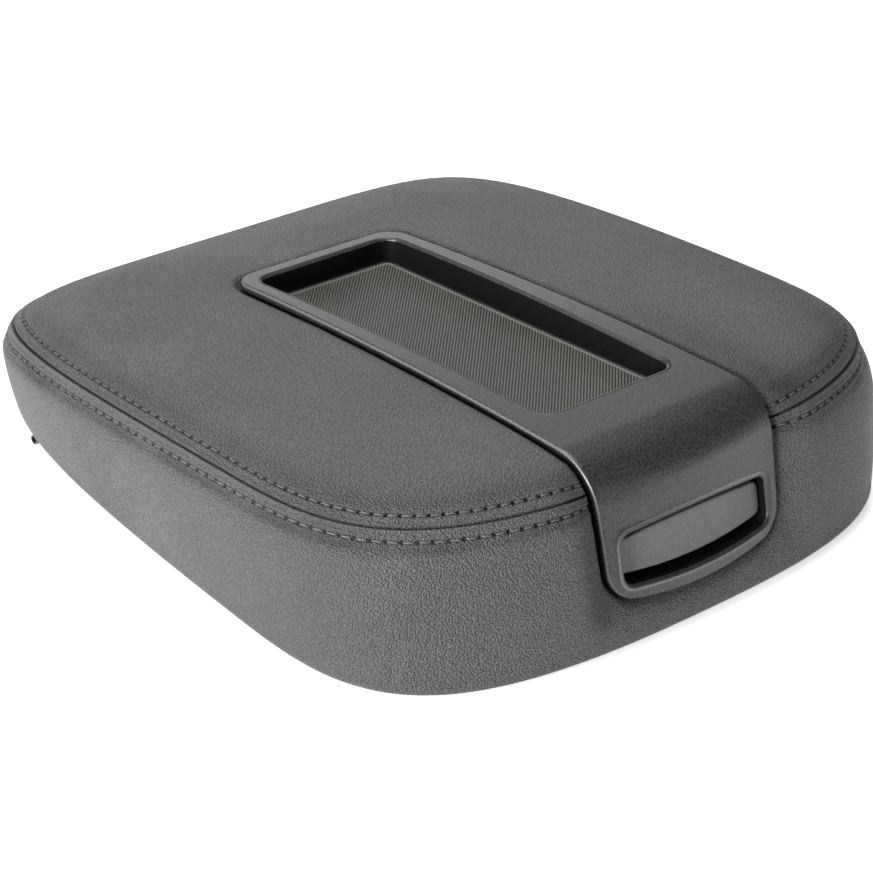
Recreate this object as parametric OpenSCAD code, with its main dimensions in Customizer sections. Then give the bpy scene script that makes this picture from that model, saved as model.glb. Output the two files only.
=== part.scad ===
// Center console lid: a padded, leather-covered armrest lid with a tray in its top,
// a pull latch in its front and a two-pin hinge under its rear edge.
// Millimetres. X to the right seen from the front, Y to the rear, Z up.
// The origin is the centre of the footprint, on the surface that the lid rests on.

/* [Body outline] */
// Half width of the lid along its stitched seam
seam_half_w = 165; // [150:1:180]
// Distance of the seam from the origin at the front centre
seam_front = 164.2; // [150:1:175]
// Distance of the seam from the origin at the rear centre
seam_rear = 171.8; // [155:1:180]
// Place along Y where the lid is widest, in front of the origin
widest_front = 52; // [20:1:80]
// Reach of the flat part of the front edge, from the centre line
front_flat = 157.2; // [120:1:165]
// Reach of the straight part of each side, forward of the widest place
side_flat_front = 63.8; // [30:1:90]
// Reach of the straight part of each side, rearward of the widest place
side_flat_rear = 239; // [160:1:245]
// Reach of the flat part of the rear edge, from the centre line
rear_flat = 152; // [110:1:165]

/* [Body heights] */
// Height of the trim's top face at its highest place
trim_top = 88.6; // [80:0.2:100]
// Drop of the seam's highest place below the trim's top face
seam_drop = 10.9; // [8:0.1:14]
// Place along Y of the highest place of the seam
seam_peak_y = 30; // [0:1:40]
// Drop of the seam over 160 mm from its highest place
seam_arch = 3; // [0:0.1:8]
// Place along Y behind which the seam dips further
rear_dip_y = 97; // [80:1:120]
// Extra dip of the seam over 60 mm behind that place
rear_dip = 2.3; // [0:0.1:4]
// Rise of the padded top from the seam to the middle
crown_rise = 9.5; // [5:0.5:14]
// Distance over which most of that rise happens
crown_roll = 12.5; // [8:0.5:20]
// Height of the lower rim at the front centre
rim_front = 1.5; // [0:0.1:6]
// Height of the lower rim at the rear centre
rim_rear = 43.8; // [35:1:50]
// Sag of the lower rim between front and rear
rim_sag = 1.6; // [0:0.1:5]
// Drop of the lower rim at the two sides
rim_side_drop = 6.3; // [0:0.1:7]
// Bulge of the side panel below the seam
side_bulge = 6.6; // [3:0.1:8]
// Pull-in of the side panel at the lower rim
side_tuck = 3.8; // [0:0.1:5]
// Forward lean of the walls, in mm for each mm of height
wall_lean = 0.15; // [0:0.01:0.2]
// Radius that rounds the side panel under the rim
rim_r = 6.5; // [5:0.5:9]

/* [Layers] */
// Thickness of the leather
leather_t = 1.6; // [1:0.1:2.2]
// Thickness of the foam over the top
foam_top_t = 12; // [8:0.5:14]
// Thickness of the foam on the sides
foam_side_t = 6; // [4:0.5:7]
// Wall of the moulded upper shell
shell_t = 3; // [2.4:0.1:3.6]
// Gap between neighbouring soft layers
layer_gap = 0.3; // [0.2:0.05:0.5]

/* [Trim bezel] */
// Half width of the bezel at its rear end
bezel_w_rear = 50.4; // [47:0.1:53]
// Half width of the bezel where its top turns down
bezel_w_bend = 55; // [52:0.1:58]
// Half width of the bezel at its lower end
bezel_w_low = 52; // [50:0.1:54]
// Place along Y of the bezel's rear end
bezel_rear_y = 96.4; // [90:0.1:105]
// Radius of the crown along the bezel's top
bezel_crown_r = 2200; // [1500:100:4000]
// Radius of the bend from the top to the front face
bezel_bend_r = 26; // [20:0.5:32]
// Place along Y where that bend starts, in front of the origin
bezel_bend_y = 136; // [131:0.5:139]
// Angle of the front face below the horizontal
bezel_face_angle = 79; // [74:1:84]
// Length of the front face below the bend
bezel_face_len = 46.6; // [42:0.2:49]
// Forward bow of the front face across its width
bezel_bow = 4.5; // [2:0.1:6]
// Downward bow of the bezel's lower edge
bezel_low_bow = 5.2; // [2:0.1:7]
// Corner radius of the bezel's outline
bezel_corner_r = 13; // [8:0.5:16]
// Wall of the bezel
bezel_t = 2.6; // [2:0.1:3]
// Depth of the skirt at the bezel's edge
bezel_skirt = 5; // [4:0.1:7]
// Depth of the leather's edge below the bezel's face
trim_sink = 0.8; // [0.3:0.1:2]
// Distance over which the leather comes up again beside the bezel
trim_roll = 13; // [8:0.5:20]
// Rounding of the bezel's outer edge
bezel_edge_r = 1.2; // [0.6:0.1:1.5]
// Gap between the bezel's edge and the leather
bezel_gap = 1.4; // [0.8:0.1:2]

/* [Tray] */
// Half width of the tray's mouth at its rear end
tray_w_rear = 42; // [38:0.1:43]
// Half width of the tray's mouth at its front end
tray_w_front = 39.8; // [36:0.1:42]
// Place along Y of the tray's rear wall
tray_rear_y = 88; // [78:0.5:91]
// Place along Y of the tray's front wall, in front of the origin
tray_front_y = 111.4; // [98:0.1:114]
// Depth of the tray
tray_depth = 13.2; // [9:0.1:14]
// Corner radius of the tray's mouth
tray_corner_r = 8; // [5:0.5:12]
// Draft of the tray's walls over their height
tray_draft = 1.6; // [0.8:0.1:2.4]
// Rounding of the tray's lip
tray_lip_r = 1.4; // [0.6:0.1:2]
// Width of the plain border around the mat
mat_border = 3; // [2:0.1:5]
// Thickness of the mat
mat_t = 1.6; // [1.2:0.1:2]
// Depth of the pocket that holds the mat
mat_pocket = 1.2; // [0.8:0.1:1.5]

/* [Latch] */
// Half width of the finger opening
open_half_w = 44.6; // [42:0.1:46]
// Drop of the opening's top edge below the trim's top face, at the centre
open_top_drop = 35.6; // [34.5:0.1:37.5]
// Drop of the opening's lower edge below the trim's top face, at the centre
open_low_drop = 64; // [62.5:0.1:65]
// Bow of the opening's top edge
open_top_bow = 2.6; // [1:0.1:4]
// Bow of the opening's lower edge
open_low_bow = 2.6; // [0:0.1:4]
// Corner radius of the opening
open_r = 5; // [3:0.5:7]
// Depth of the wall around the opening
open_collar = 7; // [6:0.1:8]
// Recess of the handle's plate behind the front face
plate_recess = 5.6; // [4:0.1:6.5]
// Thickness of the handle's plate
plate_t = 3; // [2.4:0.1:3.6]
// Clearance of the plate in the opening
plate_gap = 0.8; // [0.5:0.1:1.2]
// Further room above the plate, for its swing
plate_rise = 1.8; // [1.6:0.1:2.4]
// Height of the finger gap below the plate
finger_gap = 7.4; // [6:0.1:9]
// Distance of the latch pivot in front of the origin
pivot_front = 154.5; // [153:0.5:155]
// Drop of the latch pivot below the trim's top face
pivot_drop = 33.1; // [32:0.1:34]
// Diameter of the latch pin
latch_pin_d = 3; // [2.5:0.1:3.2]
// Outer diameter of the handle's pivot barrel
barrel_d = 6; // [5.6:0.1:6.4]
// Height of the hook's lower end
hook_z = 8; // [6:0.5:12]
// Reach of the hook's barb
hook_reach = 7; // [5:0.5:9]
// Width of each hook leg
leg_w = 14; // [10:1:18]
// Distance of each hook leg from the centre line
leg_x = 22; // [18:1:28]
// Wire of the return spring
latch_wire_d = 1.2; // [0.8:0.1:1.5]
// Turns of the return spring
latch_turns = 6; // [4:1:8]

/* [Liner] */
// Inset of the liner's edge from the seam outline
liner_inset = 15; // [14:0.5:18]
// Inset of the liner's raised middle
liner_pan_inset = 34; // [30:0.5:40]
// Height of the liner's raised middle
liner_pan_h = 14; // [8:0.5:16]
// Wall of the liner
liner_t = 2.5; // [2:0.1:3]

/* [Hinge] */
// Place along Y of the hinge axis
hinge_y = 139; // [136:0.5:142]
// Height of the hinge axis
hinge_z = 14; // [12:0.5:18]
// Diameter of the hinge pins
hinge_pin_d = 5; // [4:0.1:6]
// Diameter of the pins' heads
hinge_head_d = 6.6; // [6.2:0.1:8]
// Distance of the pins' outer ends inside the widest part of the seam
hinge_end_in = 25; // [22:0.5:32]
// Thickness of the hinge brackets
bracket_t = 2.8; // [2.4:0.1:3.2]
// Clear width between the two cheeks of a bracket
bracket_gap = 18; // [14:0.5:24]
// Thickness of the hinge base
base_t = 2.5; // [2:0.1:3]
// Depth of the hinge base along Y
base_depth = 52; // [44:1:60]
// Diameter of the mounting holes in the hinge base
base_hole_d = 6.6; // [5.5:0.1:9]
// Spacing of the mounting holes across the lid
base_hole_span = 150; // [120:1:180]
// Spacing of the mounting holes along Y
base_hole_pitch = 22; // [18:1:26]
// Running clearance between pin and bush, on the radius
pin_clear = 0.04; // [0.02:0.01:0.08]

/* [Fasteners] */
// Shank diameter of the self-tapping screws
screw_d = 3; // [2.5:0.1:3.5]
// Head diameter of the screws
screw_head_d = 6.4; // [5.5:0.1:7]
// Diameter of the rubber stops
stop_d = 12; // [9:0.5:14]

/* [Hidden] */
leather_color = "#3b3c3b";
plastic_color = "#2c2d2f";
steel_color = "#5b5d60";
// Heights and places that follow from the sizes above
seam_top = trim_top - seam_drop;
open_top = trim_top - open_top_drop;
open_low = trim_top - open_low_drop;
pivot_z = trim_top - pivot_drop;
channel_floor = pivot_z - 19.5;
hinge_end_x = seam_half_w - hinge_end_in;

quarter_n = 16;
ring_n = 4 * quarter_n;
// Places of the outline's points; they lie closer together beside the bezel
front_places = [0, 0.07, 0.125, 0.14, 0.155, 0.175, 0.2, 0.23, 0.28, 0.35, 0.43, 0.51, 0.59, 0.68, 0.78, 0.89];

// Points of the seam outline, from the front centre anticlockwise seen from above
function bezier(t, a, b, c, d) =
    pow(1 - t, 3) * a + 3 * pow(1 - t, 2) * t * b + 3 * (1 - t) * t * t * c + pow(t, 3) * d;
function bezier_dir(t, a, b, c, d) =
    3 * pow(1 - t, 2) * (b - a) + 6 * (1 - t) * t * (c - b) + 3 * t * t * (d - c);
front_quarter = [[0, -seam_front], [front_flat, -seam_front],
    [seam_half_w, -widest_front - side_flat_front], [seam_half_w, -widest_front]];
rear_quarter = [[seam_half_w, -widest_front], [seam_half_w, -widest_front + side_flat_rear],
    [rear_flat, seam_rear], [0, seam_rear]];
function half_point(k, dir = false) =
    let (q = k < quarter_n ? front_quarter : rear_quarter)
    let (t = k < quarter_n ? front_places[k] : (k - quarter_n) / quarter_n)
    dir ? bezier_dir(t, q[0], q[1], q[2], q[3]) : bezier(t, q[0], q[1], q[2], q[3]);
function unit(v) = v / norm(v);
function mirrored(v) = [-v[0], v[1]];
function outline_point(i) = i <= 2 * quarter_n ? half_point(i) : mirrored(half_point(ring_n - i));
function right_normal(k) = let (d = unit(half_point(k, true))) [d[1], -d[0]];
function outline_normal(i) =
    i == 0 ? [0, -1] : i == 2 * quarter_n ? [0, 1] :
    i < 2 * quarter_n ? right_normal(i) : mirrored(right_normal(ring_n - i));
outline = [for (i = [0:ring_n - 1]) outline_point(i)];
normals = [for (i = [0:ring_n - 1]) outline_normal(i)];

// Heights of the seam, of the lower rim and of the plane that carries the liner
function seam_z(y) = seam_top - seam_arch * pow((y - seam_peak_y) / 160, 2)
    - rear_dip * pow(max(0, y - rear_dip_y) / 60, 2);
body_len = seam_front + seam_rear;
rim_slope = (rim_rear - rim_front) / body_len;
rim_mid_y = (seam_rear - seam_front) / 2;
function plane_z(y) = rim_front + rim_slope * (y + seam_front);
function rim_z(x, y) = plane_z(y) - rim_sag * (1 - pow((y - rim_mid_y) / (body_len / 2), 2))
    - rim_side_drop * pow(x / seam_half_w, 2);
tilt = atan(rim_slope);

// Side view of the bezel: the slope where its top meets the bend, and the bend's centre
crown_end_phi = 3.7;
bend_z = trim_top - bezel_crown_r * (1 - cos(crown_end_phi));
bend_cy = -bezel_bend_y + bezel_bend_r * sin(crown_end_phi);
bend_cz = bend_z - bezel_bend_r * cos(crown_end_phi);
bend_end_y = bend_cy - bezel_bend_r * sin(bezel_face_angle);
bend_end_z = bend_cz + bezel_bend_r * cos(bezel_face_angle);
// Pull of a leather point towards the bezel, so that the leather meets the bezel's edge
function bow_at(x, z) = bezel_bow * max(0, 1 - pow(x / bezel_w_bend, 2))
    * pow(sin(z < bend_cz ? bezel_face_angle : blend(bezel_face_angle, 0, (z - bend_cz) / bezel_bend_r)), 2);
function face_line_y(x, z) = bend_end_y - (bend_end_z - z) / tan(bezel_face_angle) - bow_at(x, z);
function low_line_z(x) = bend_end_z - sin(bezel_face_angle)
    * (bezel_face_len - bezel_low_bow * min(1, pow(x / bezel_w_low, 2)));
function pull_share(x, z) =
    let (w = z > bend_cz ? bezel_w_bend : blend(bezel_w_low, bezel_w_bend, (z - 20) / (bend_cz - 20)))
    let (dx = max(0, abs(x) - w), dz = max(0, low_line_z(x) - z))
    exp(-pow(norm([dx, 1.5 * dz]) / trim_roll, 2));
function pull(p) =
    p[1] > bend_cy + 20 ? [0, 0, 0] :
    let (k = pull_share(p[0], p[2]))
    p[2] <= bend_cz ? [0, k * max(0, face_line_y(p[0], p[2]) + trim_sink - p[1]), 0] :
    let (dy = min(0, p[1] - bend_cy + bow_at(p[0], p[2])), dz = p[2] - bend_cz, r = norm([dy, dz]))
    let (far = max(0, r - bezel_bend_r + trim_sink))
    k * far * [0, -dy / r, -dz / r];

// Point of a side wall at share f of its height, moved outwards by g
function wall_out(f) = f < 0.3 ? side_bulge * sin(300 * f)
    : side_bulge - side_tuck * pow((f - 0.3) / 0.7, 2);
function wall_point(i, g, z) =
    let (p = outline[i], n = normals[i], zs = seam_z(p[1]))
    [p[0] + n[0] * g, p[1] + n[1] * g + wall_lean * (z - zs), z];
function wall_h(i) = let (p = outline[i]) seam_z(p[1]) - rim_z(p[0], p[1]);
function wall_end(i) = 1 - rim_r / wall_h(i);
function wall_at(i, share, inset) =
    let (p = outline[i], f = share * wall_end(i), z = seam_z(p[1]) - f * wall_h(i))
    wall_point(i, wall_out(f) - inset, z) + pull(wall_point(i, wall_out(f), z));
// Point on the round under the rim, at angle a and inset from the leather's face
function rim_point(i, a, inset) =
    let (p = outline[i], r = rim_r - inset, g = wall_out(wall_end(i)) - inset)
    let (z = rim_z(p[0], p[1]) + rim_r - r * sin(a))
    wall_point(i, g - r * (1 - cos(a)), z) + pull(wall_point(i, g + inset, z));
function ledge_point(i, g, lift) =
    let (p = outline[i] + normals[i] * g) [p[0], p[1], plane_z(p[1]) + lift];

// Point of the padded top at distance d in from the seam, sunk by depth
function crown(d) = crown_rise * (1 - exp(-d / crown_roll));
function top_point(i, d, depth) =
    let (p = outline[i] - normals[i] * d, z = seam_z(p[1]) + crown(d))
    [p[0], p[1], z - depth] + pull([p[0], p[1], z]);
inner_start = 26;
function top_scaled(i, s, depth) =
    let (q = outline[i] - normals[i] * inner_start)
    let (p = [q[0] * s, (q[1] - rim_mid_y) * s + rim_mid_y])
    let (d = inner_start + (1 - s) * 110, z = seam_z(p[1]) + crown(d))
    [p[0], p[1], z - depth] + pull([p[0], p[1], z]);

// Closed solid from rings of ring_n points; a ring with one point is a pole.
// Each face between two rings is split along its shorter diagonal, so that stacked layers stay parallel
module ring_solid(rings, closed = false) {
    count = len(rings);
    starts = [for (k = 0, s = 0; k < count; s = s + len(rings[k]), k = k + 1) s];
    pts = [for (r = rings) each r];
    last = closed ? count - 1 : count - 2;
    faces = [for (k = [0:last]) let (m = (k + 1) % count)
        each [for (i = [0:ring_n - 1]) let (j = (i + 1) % ring_n)
            each len(rings[k]) == 1 ? [[starts[k], starts[m] + j, starts[m] + i]]
                : len(rings[m]) == 1 ? [[starts[k] + i, starts[k] + j, starts[m]]]
                : norm(rings[k][j] - rings[m][i]) <= norm(rings[k][i] - rings[m][j])
                ? [[starts[k] + i, starts[k] + j, starts[m] + i], [starts[k] + j, starts[m] + j, starts[m] + i]]
                : [[starts[k] + i, starts[k] + j, starts[m] + j], [starts[k] + i, starts[m] + j, starts[m] + i]]]];
    polyhedron(points = pts, faces = faces, convexity = 6);
}
function ring_of(f) = [for (i = [0:ring_n - 1]) f(i)];

// Side view of the bezel: heading angle phi runs from the top's slope to the face's slope
top_run = bezel_rear_y + bezel_bend_y;
crown_start_phi = crown_end_phi - top_run / bezel_crown_r * 180 / PI;
bend_len = bezel_bend_r * (bezel_face_angle - crown_end_phi) * PI / 180;
face_end = top_run + bend_len + bezel_face_len;
function phi_at(s) = s < top_run ? crown_start_phi + s / bezel_crown_r * 180 / PI
    : s < top_run + bend_len ? crown_end_phi + (s - top_run) / bezel_bend_r * 180 / PI
    : bezel_face_angle;
function side_yz(s) =
    let (a = phi_at(s))
    s < top_run ? [-bezel_bend_y + bezel_crown_r * (sin(crown_end_phi) - sin(a)),
        bend_z + bezel_crown_r * (cos(a) - cos(crown_end_phi))]
    : s < top_run + bend_len ? [-bezel_bend_y - bezel_bend_r * (sin(a) - sin(crown_end_phi)),
        bend_z - bezel_bend_r * (cos(crown_end_phi) - cos(a))]
    : [bend_end_y - (s - top_run - bend_len) * cos(a),
        bend_end_z - (s - top_run - bend_len) * sin(a)];
function blend(a, b, t) = a + (b - a) * min(1, max(0, t));
function bezel_half_w(s) = s < top_run ? blend(bezel_w_rear, bezel_w_bend, s / top_run)
    : blend(bezel_w_bend, bezel_w_low, (s - top_run - bend_len / 2) / (bezel_face_len + bend_len / 2));

// Point of the bezel's face at x and s, raised by h along the face's normal
function bezel_point(x, s, h) =
    let (a = phi_at(s), yz = side_yz(s))
    let (bow = bezel_bow * (1 - pow(x / bezel_w_bend, 2)) * pow(sin(a), 2))
    [x, yz[0] - bow - h * sin(a), yz[1] + h * cos(a)];

// Half width with rounded corners, for a distance e from the nearer end
function corner_w(w, e, r) = e >= r ? w : w - r + sqrt(max(0, r * r - pow(r - e, 2)));
// Distance to the bezel's outline
function edge_dist(x, e, w, r) =
    let (qx = abs(x) - (w - r), qe = r - e)
    qx > 0 && qe > 0 ? r - norm([qx, qe]) : min(w - abs(x), e);
function edge_drop(d) = d >= bezel_edge_r ? 0
    : bezel_edge_r - sqrt(max(0, pow(bezel_edge_r, 2) - pow(bezel_edge_r - max(0, d), 2)));

skirt_w = 2.2;
edge_steps = [0, 0.35, 1.2, skirt_w, skirt_w + 0.4];
edge_n = len(edge_steps);
end_rows = concat(edge_steps, [5, 8, bezel_corner_r]);
mid_cols = [-0.8, -0.5, -0.25, 0, 0.25, 0.5, 0.8];
low_end = face_end - bezel_low_bow;
// Rows along the bezel: distance from the rear end, and from the lower end
bezel_rows = concat(end_rows, [for (k = [1:5]) bezel_corner_r + (top_run - bezel_corner_r) * k / 6],
    [for (k = [0:9]) top_run + bend_len * k / 9],
    [for (k = [1:3]) blend(top_run + bend_len, low_end - bezel_corner_r, k / 4)],
    [for (k = [len(end_rows) - 1:-1:0]) low_end - end_rows[k]]);
function row_end(s) = min(s, low_end - s);
function row_x(s) =
    let (w = corner_w(bezel_half_w(s), row_end(s), bezel_corner_r), m = w - edge_steps[edge_n - 1])
    concat([for (d = edge_steps) -w + d], [for (u = mid_cols) u * m],
        [for (k = [edge_n - 1:-1:0]) w - edge_steps[k]]);
// The lower end is stretched downwards in its middle, which bows the lower edge
function row_s(x, s) =
    let (t = max(0, (s - top_run - bend_len) / (low_end - top_run - bend_len)))
    s + bezel_low_bow * t * t * (1 - pow(x / bezel_w_low, 2));
function bezel_top_point(x, s) =
    let (d = edge_dist(x, row_end(s), bezel_half_w(s), bezel_corner_r))
    bezel_point(x, row_s(x, s), -edge_drop(d));
function bezel_under_point(x, s) =
    let (d = edge_dist(x, row_end(s), bezel_half_w(s), bezel_corner_r))
    bezel_point(x, row_s(x, s), d < skirt_w + 0.1 ? -bezel_skirt : -bezel_t);

module bezel_sheet() {
    rows = len(bezel_rows);
    cols = 2 * edge_n + len(mid_cols);
    top = [for (s = bezel_rows) for (x = row_x(s)) bezel_top_point(x, s)];
    under = [for (s = bezel_rows) for (x = row_x(s)) bezel_under_point(x, s)];
    off = rows * cols;
    grid = [for (r = [0:rows - 2]) for (c = [0:cols - 2]) let (a = r * cols + c, b = a + cols)
        each [[a, a + 1, b], [a + 1, b + 1, b],
            [off + a, off + b, off + a + 1], [off + a + 1, off + b, off + b + 1]]];
    sides = [for (r = [0:rows - 2]) let (a = r * cols, b = a + cols, e = a + cols - 1, f = e + cols)
        each [[a, b, off + a], [off + a, b, off + b], [e, off + e, f], [off + e, off + f, f]]];
    ends = [for (c = [0:cols - 2]) let (b = (rows - 1) * cols + c)
        each [[c, off + c, c + 1], [c + 1, off + c, off + c + 1],
            [b, b + 1, off + b], [b + 1, off + b + 1, off + b]]];
    polyhedron(points = concat(top, under), faces = concat(grid, sides, ends), convexity = 8);
}

// Points of a polygon whose corners are rounded; each point is [x, y, radius]
arc_n = 6;
function rounded(pts) = [for (i = [0:len(pts) - 1])
    let (n = len(pts), q = pts[i], b = [q[0], q[1]], r = q[2])
    each r <= 0 ? [b] :
        let (a = pts[(i + n - 1) % n], c = pts[(i + 1) % n])
        let (u = unit([a[0], a[1]] - b), v = unit([c[0], c[1]] - b))
        let (half = acos(u * v) / 2, m = b + unit(u + v) * r / sin(half))
        let (s = b + u * r / tan(half) - m, e = b + v * r / tan(half) - m)
        let (a0 = atan2(s[1], s[0]), turn = (atan2(e[1], e[0]) - a0 + 900) % 360 - 180)
        [for (k = [0:arc_n]) m + r * [cos(a0 + turn * k / arc_n), sin(a0 + turn * k / arc_n)]]];
// Rounded quadrilateral: half widths at both ends, ends along the second axis
function quad_points(w_a, w_b, end_a, end_b, r) =
    rounded([[-w_a, end_a, r], [w_a, end_a, r], [w_b, end_b, r], [-w_b, end_b, r]]);
module round_quad(w_a, w_b, end_a, end_b, r) {
    polygon(quad_points(w_a, w_b, end_a, end_b, r));
}
// Solid between outlines of equal point counts, listed from the lowest upwards
module stack(rings) {
    n = len(rings[0]);
    count = len(rings);
    walls = [for (k = [0:count - 2]) for (i = [0:n - 1]) let (j = (i + 1) % n, a = k * n, b = a + n)
        each [[a + i, b + i, a + j], [a + j, b + i, b + j]]];
    low = [[for (i = [0:n - 1]) i]];
    high = [[for (i = [n - 1:-1:0]) (count - 1) * n + i]];
    polyhedron(points = [for (r = rings) each r], faces = concat(walls, low, high), convexity = 6);
}
function lifted(pts, z) = [for (p = pts) [p[0], p[1], z]];

// Outline of the bezel's channel seen from above, grown by g
channel_front = 200;
module channel_plan(g) {
    w_far = bezel_w_bend + (bezel_w_bend - bezel_w_rear) * (channel_front - bezel_bend_y) / top_run;
    r = bezel_corner_r + g;
    polygon(rounded([[-w_far - g, -channel_front, 0], [w_far + g, -channel_front, 0],
        [bezel_w_rear + g, bezel_rear_y + g, r], [-bezel_w_rear - g, bezel_rear_y + g, r]]));
}
face_low_z = side_yz(low_end)[1];
face_low_mid_z = face_low_z - bezel_low_bow * sin(bezel_face_angle);
// Outline of the bezel's face seen from the front, grown by g
bow_steps = [-0.7, -0.35, 0, 0.35, 0.7];
module channel_face(g) {
    r = bezel_corner_r + g;
    low = face_low_z - g;
    polygon(rounded(concat([[-bezel_w_low - g, low, r]],
        [for (u = bow_steps) [u * bezel_w_low, low - (face_low_z - face_low_mid_z) * (1 - u * u), 0]],
        [[bezel_w_low + g, low, r], [bezel_w_bend + g, trim_top - 20, 0], [bezel_w_bend + g, trim_top + 20, 0],
            [-bezel_w_bend - g, trim_top + 20, 0], [-bezel_w_bend - g, trim_top - 20, 0]])));
}
// Space that the bezel takes out of the layers: open above and through the front wall
module channel_cut(g, floor_z, back_y = -bezel_bend_y - 5) {
    translate([0, 0, floor_z]) linear_extrude(height = trim_top - floor_z + 20) intersection() {
        channel_plan(g);
        translate([-100, back_y - 6]) square([200, 300]);
    }
    translate([0, back_y, 0]) rotate([90, 0, 0])
        linear_extrude(height = channel_front + back_y) channel_face(g);
}

// Leather of the top, sewn to the side panel along the seam
top_steps = [0, 1.5, 4, 8, 14, 20];
module top_panel() {
    color(leather_color)
    difference() {
        ring_solid(concat(
            [[[0, rim_mid_y, top_scaled(0, 0, 0)[2]]]],
            [for (s = [0.35, 0.65, 0.88]) [for (i = [0:ring_n - 1]) top_scaled(i, s, 0)]],
            [for (k = [len(top_steps) - 1:-1:0]) [for (i = [0:ring_n - 1]) top_point(i, top_steps[k], 0)]],
            [for (d = [2, 4, 9, 18]) [for (i = [0:ring_n - 1]) top_point(i, d, leather_t)]],
            [for (s = [0.88, 0.5]) [for (i = [0:ring_n - 1]) top_scaled(i, s, leather_t)]],
            [[[0, rim_mid_y, top_scaled(0, 0, leather_t)[2]]]]));
        channel_cut(bezel_gap, channel_floor);
    }
}

// Leather band round the sides, turned in under the rim
wrap_in = 17;
module side_panel() {
    color(leather_color)
    difference() {
        ring_solid([
            for (f = [0.01, 0.05, 0.13, 0.22, 0.33, 0.55, 0.75, 0.84, 0.92, 1]) ring_side(f, 0),
            for (a = [25, 50, 72, 90]) [for (i = [0:ring_n - 1]) rim_point(i, a, 0)],
            [for (i = [0:ring_n - 1]) ledge_point(i, -liner_inset + 6, ledge_low - leather_t)],
            [for (i = [0:ring_n - 1]) ledge_point(i, -wrap_in, ledge_low - leather_t)],
            [for (i = [0:ring_n - 1]) ledge_point(i, -wrap_in, ledge_low)],
            [for (i = [0:ring_n - 1]) ledge_point(i, -liner_inset + 6.6, ledge_low)],
            for (a = [80, 45, 15]) [for (i = [0:ring_n - 1]) rim_point(i, a, leather_t)],
            for (f = [0.92, 0.75, 0.45, 0.22, 0.08, 0.03]) ring_side(f, leather_t)
        ], closed = true);
        channel_cut(bezel_gap, channel_floor);
    }
}
ledge_low = 4.4;
function ring_side(f, inset) = [for (i = [0:ring_n - 1]) wall_at(i, f, inset)];

// Foam cap between the leather and the shell
foam_out = leather_t + layer_gap;
foam_in = foam_out + foam_side_t;
foam_deep = leather_t + layer_gap + foam_top_t;
module foam_pad() {
    color("#474541")
    difference() {
        ring_solid(concat(
            [[[0, rim_mid_y, top_scaled(0, 0, foam_out)[2]]]],
            [for (s = [0.5, 0.88]) [for (i = [0:ring_n - 1]) top_scaled(i, s, foam_out)]],
            [for (d = [18, 9, 4]) [for (i = [0:ring_n - 1]) top_point(i, d, foam_out)]],
            [for (f = [0.08, 0.22, 0.45, 0.75, 0.92, 0.94]) ring_side(f, foam_out)],
            [for (f = [0.94, 0.9, 0.75, 0.4]) ring_side(f, foam_in)],
            [[for (i = [0:ring_n - 1]) top_point(i, shell_edge, foam_deep + 2)]],
            [[for (i = [0:ring_n - 1]) top_point(i, shell_edge + 8, foam_deep)]],
            [for (s = [0.88, 0.5]) [for (i = [0:ring_n - 1]) top_scaled(i, s, foam_deep)]],
            [[[0, rim_mid_y, top_scaled(0, 0, foam_deep)[2]]]]));
        channel_cut(bezel_gap + 0.4, channel_floor);
        translate([0, 0, pan_z - shell_t]) linear_extrude(height = shell_t + pan_rim + layer_gap)
            pan_outline(layer_gap);
    }
}

// Moulded shell: top, side walls and the inward ledge that carries the liner
shell_edge = 8;
shell_out = foam_in + layer_gap;
shell_in = shell_out + shell_t;
shell_deep = foam_deep + layer_gap;
ledge_in = 30;
pan_z = trim_top - tray_depth - 6.6;
module shell_skin() {
    ring_solid(concat(
        [[[0, rim_mid_y, top_scaled(0, 0, shell_deep)[2]]]],
        [for (s = [0.5, 0.88]) [for (i = [0:ring_n - 1]) top_scaled(i, s, shell_deep)]],
        [[for (i = [0:ring_n - 1]) top_point(i, shell_edge + 8, shell_deep)]],
        [[for (i = [0:ring_n - 1]) top_point(i, shell_edge + 1.2, shell_deep + 3.2)]],
        [for (f = [0.45, 0.75, 0.9]) ring_side(f, shell_out)],
        [[for (i = [0:ring_n - 1]) ledge_point(i, -liner_inset + 5, ledge_low + layer_gap + 0.6)]],
        [[for (i = [0:ring_n - 1]) ledge_point(i, -liner_inset, ledge_low + layer_gap)]],
        [[for (i = [0:ring_n - 1]) ledge_point(i, -ledge_in, ledge_low + layer_gap)]],
        [[for (i = [0:ring_n - 1]) ledge_point(i, -ledge_in, ledge_low + layer_gap + shell_t)]],
        [[for (i = [0:ring_n - 1]) ledge_point(i, -liner_inset - shell_t, ledge_low + layer_gap + shell_t)]],
        [for (f = [0.82, 0.7, 0.4]) ring_side(f, shell_in)],
        [[for (i = [0:ring_n - 1]) top_point(i, shell_edge + 5, shell_deep + shell_t + 2)]],
        [for (s = [0.88, 0.5]) [for (i = [0:ring_n - 1]) top_scaled(i, s, shell_deep + shell_t)]],
        [[[0, rim_mid_y, top_scaled(0, 0, shell_deep + shell_t)[2]]]]));
}
function shell_low_z(y) = seam_z(y) + crown_rise - shell_deep - shell_t + 1.5;
pan_side = 6;
pan_rim = 1.2;
pan_front_y = -tray_front_y - 9;
pan_boss_y = pan_front_y - 4;
module pan_outline(g) {
    round_quad(bezel_w_bend + pan_side + g, bezel_w_rear + pan_side + g, pan_front_y - g,
        bezel_rear_y + pan_side + g, bezel_corner_r + g);
}
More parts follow.
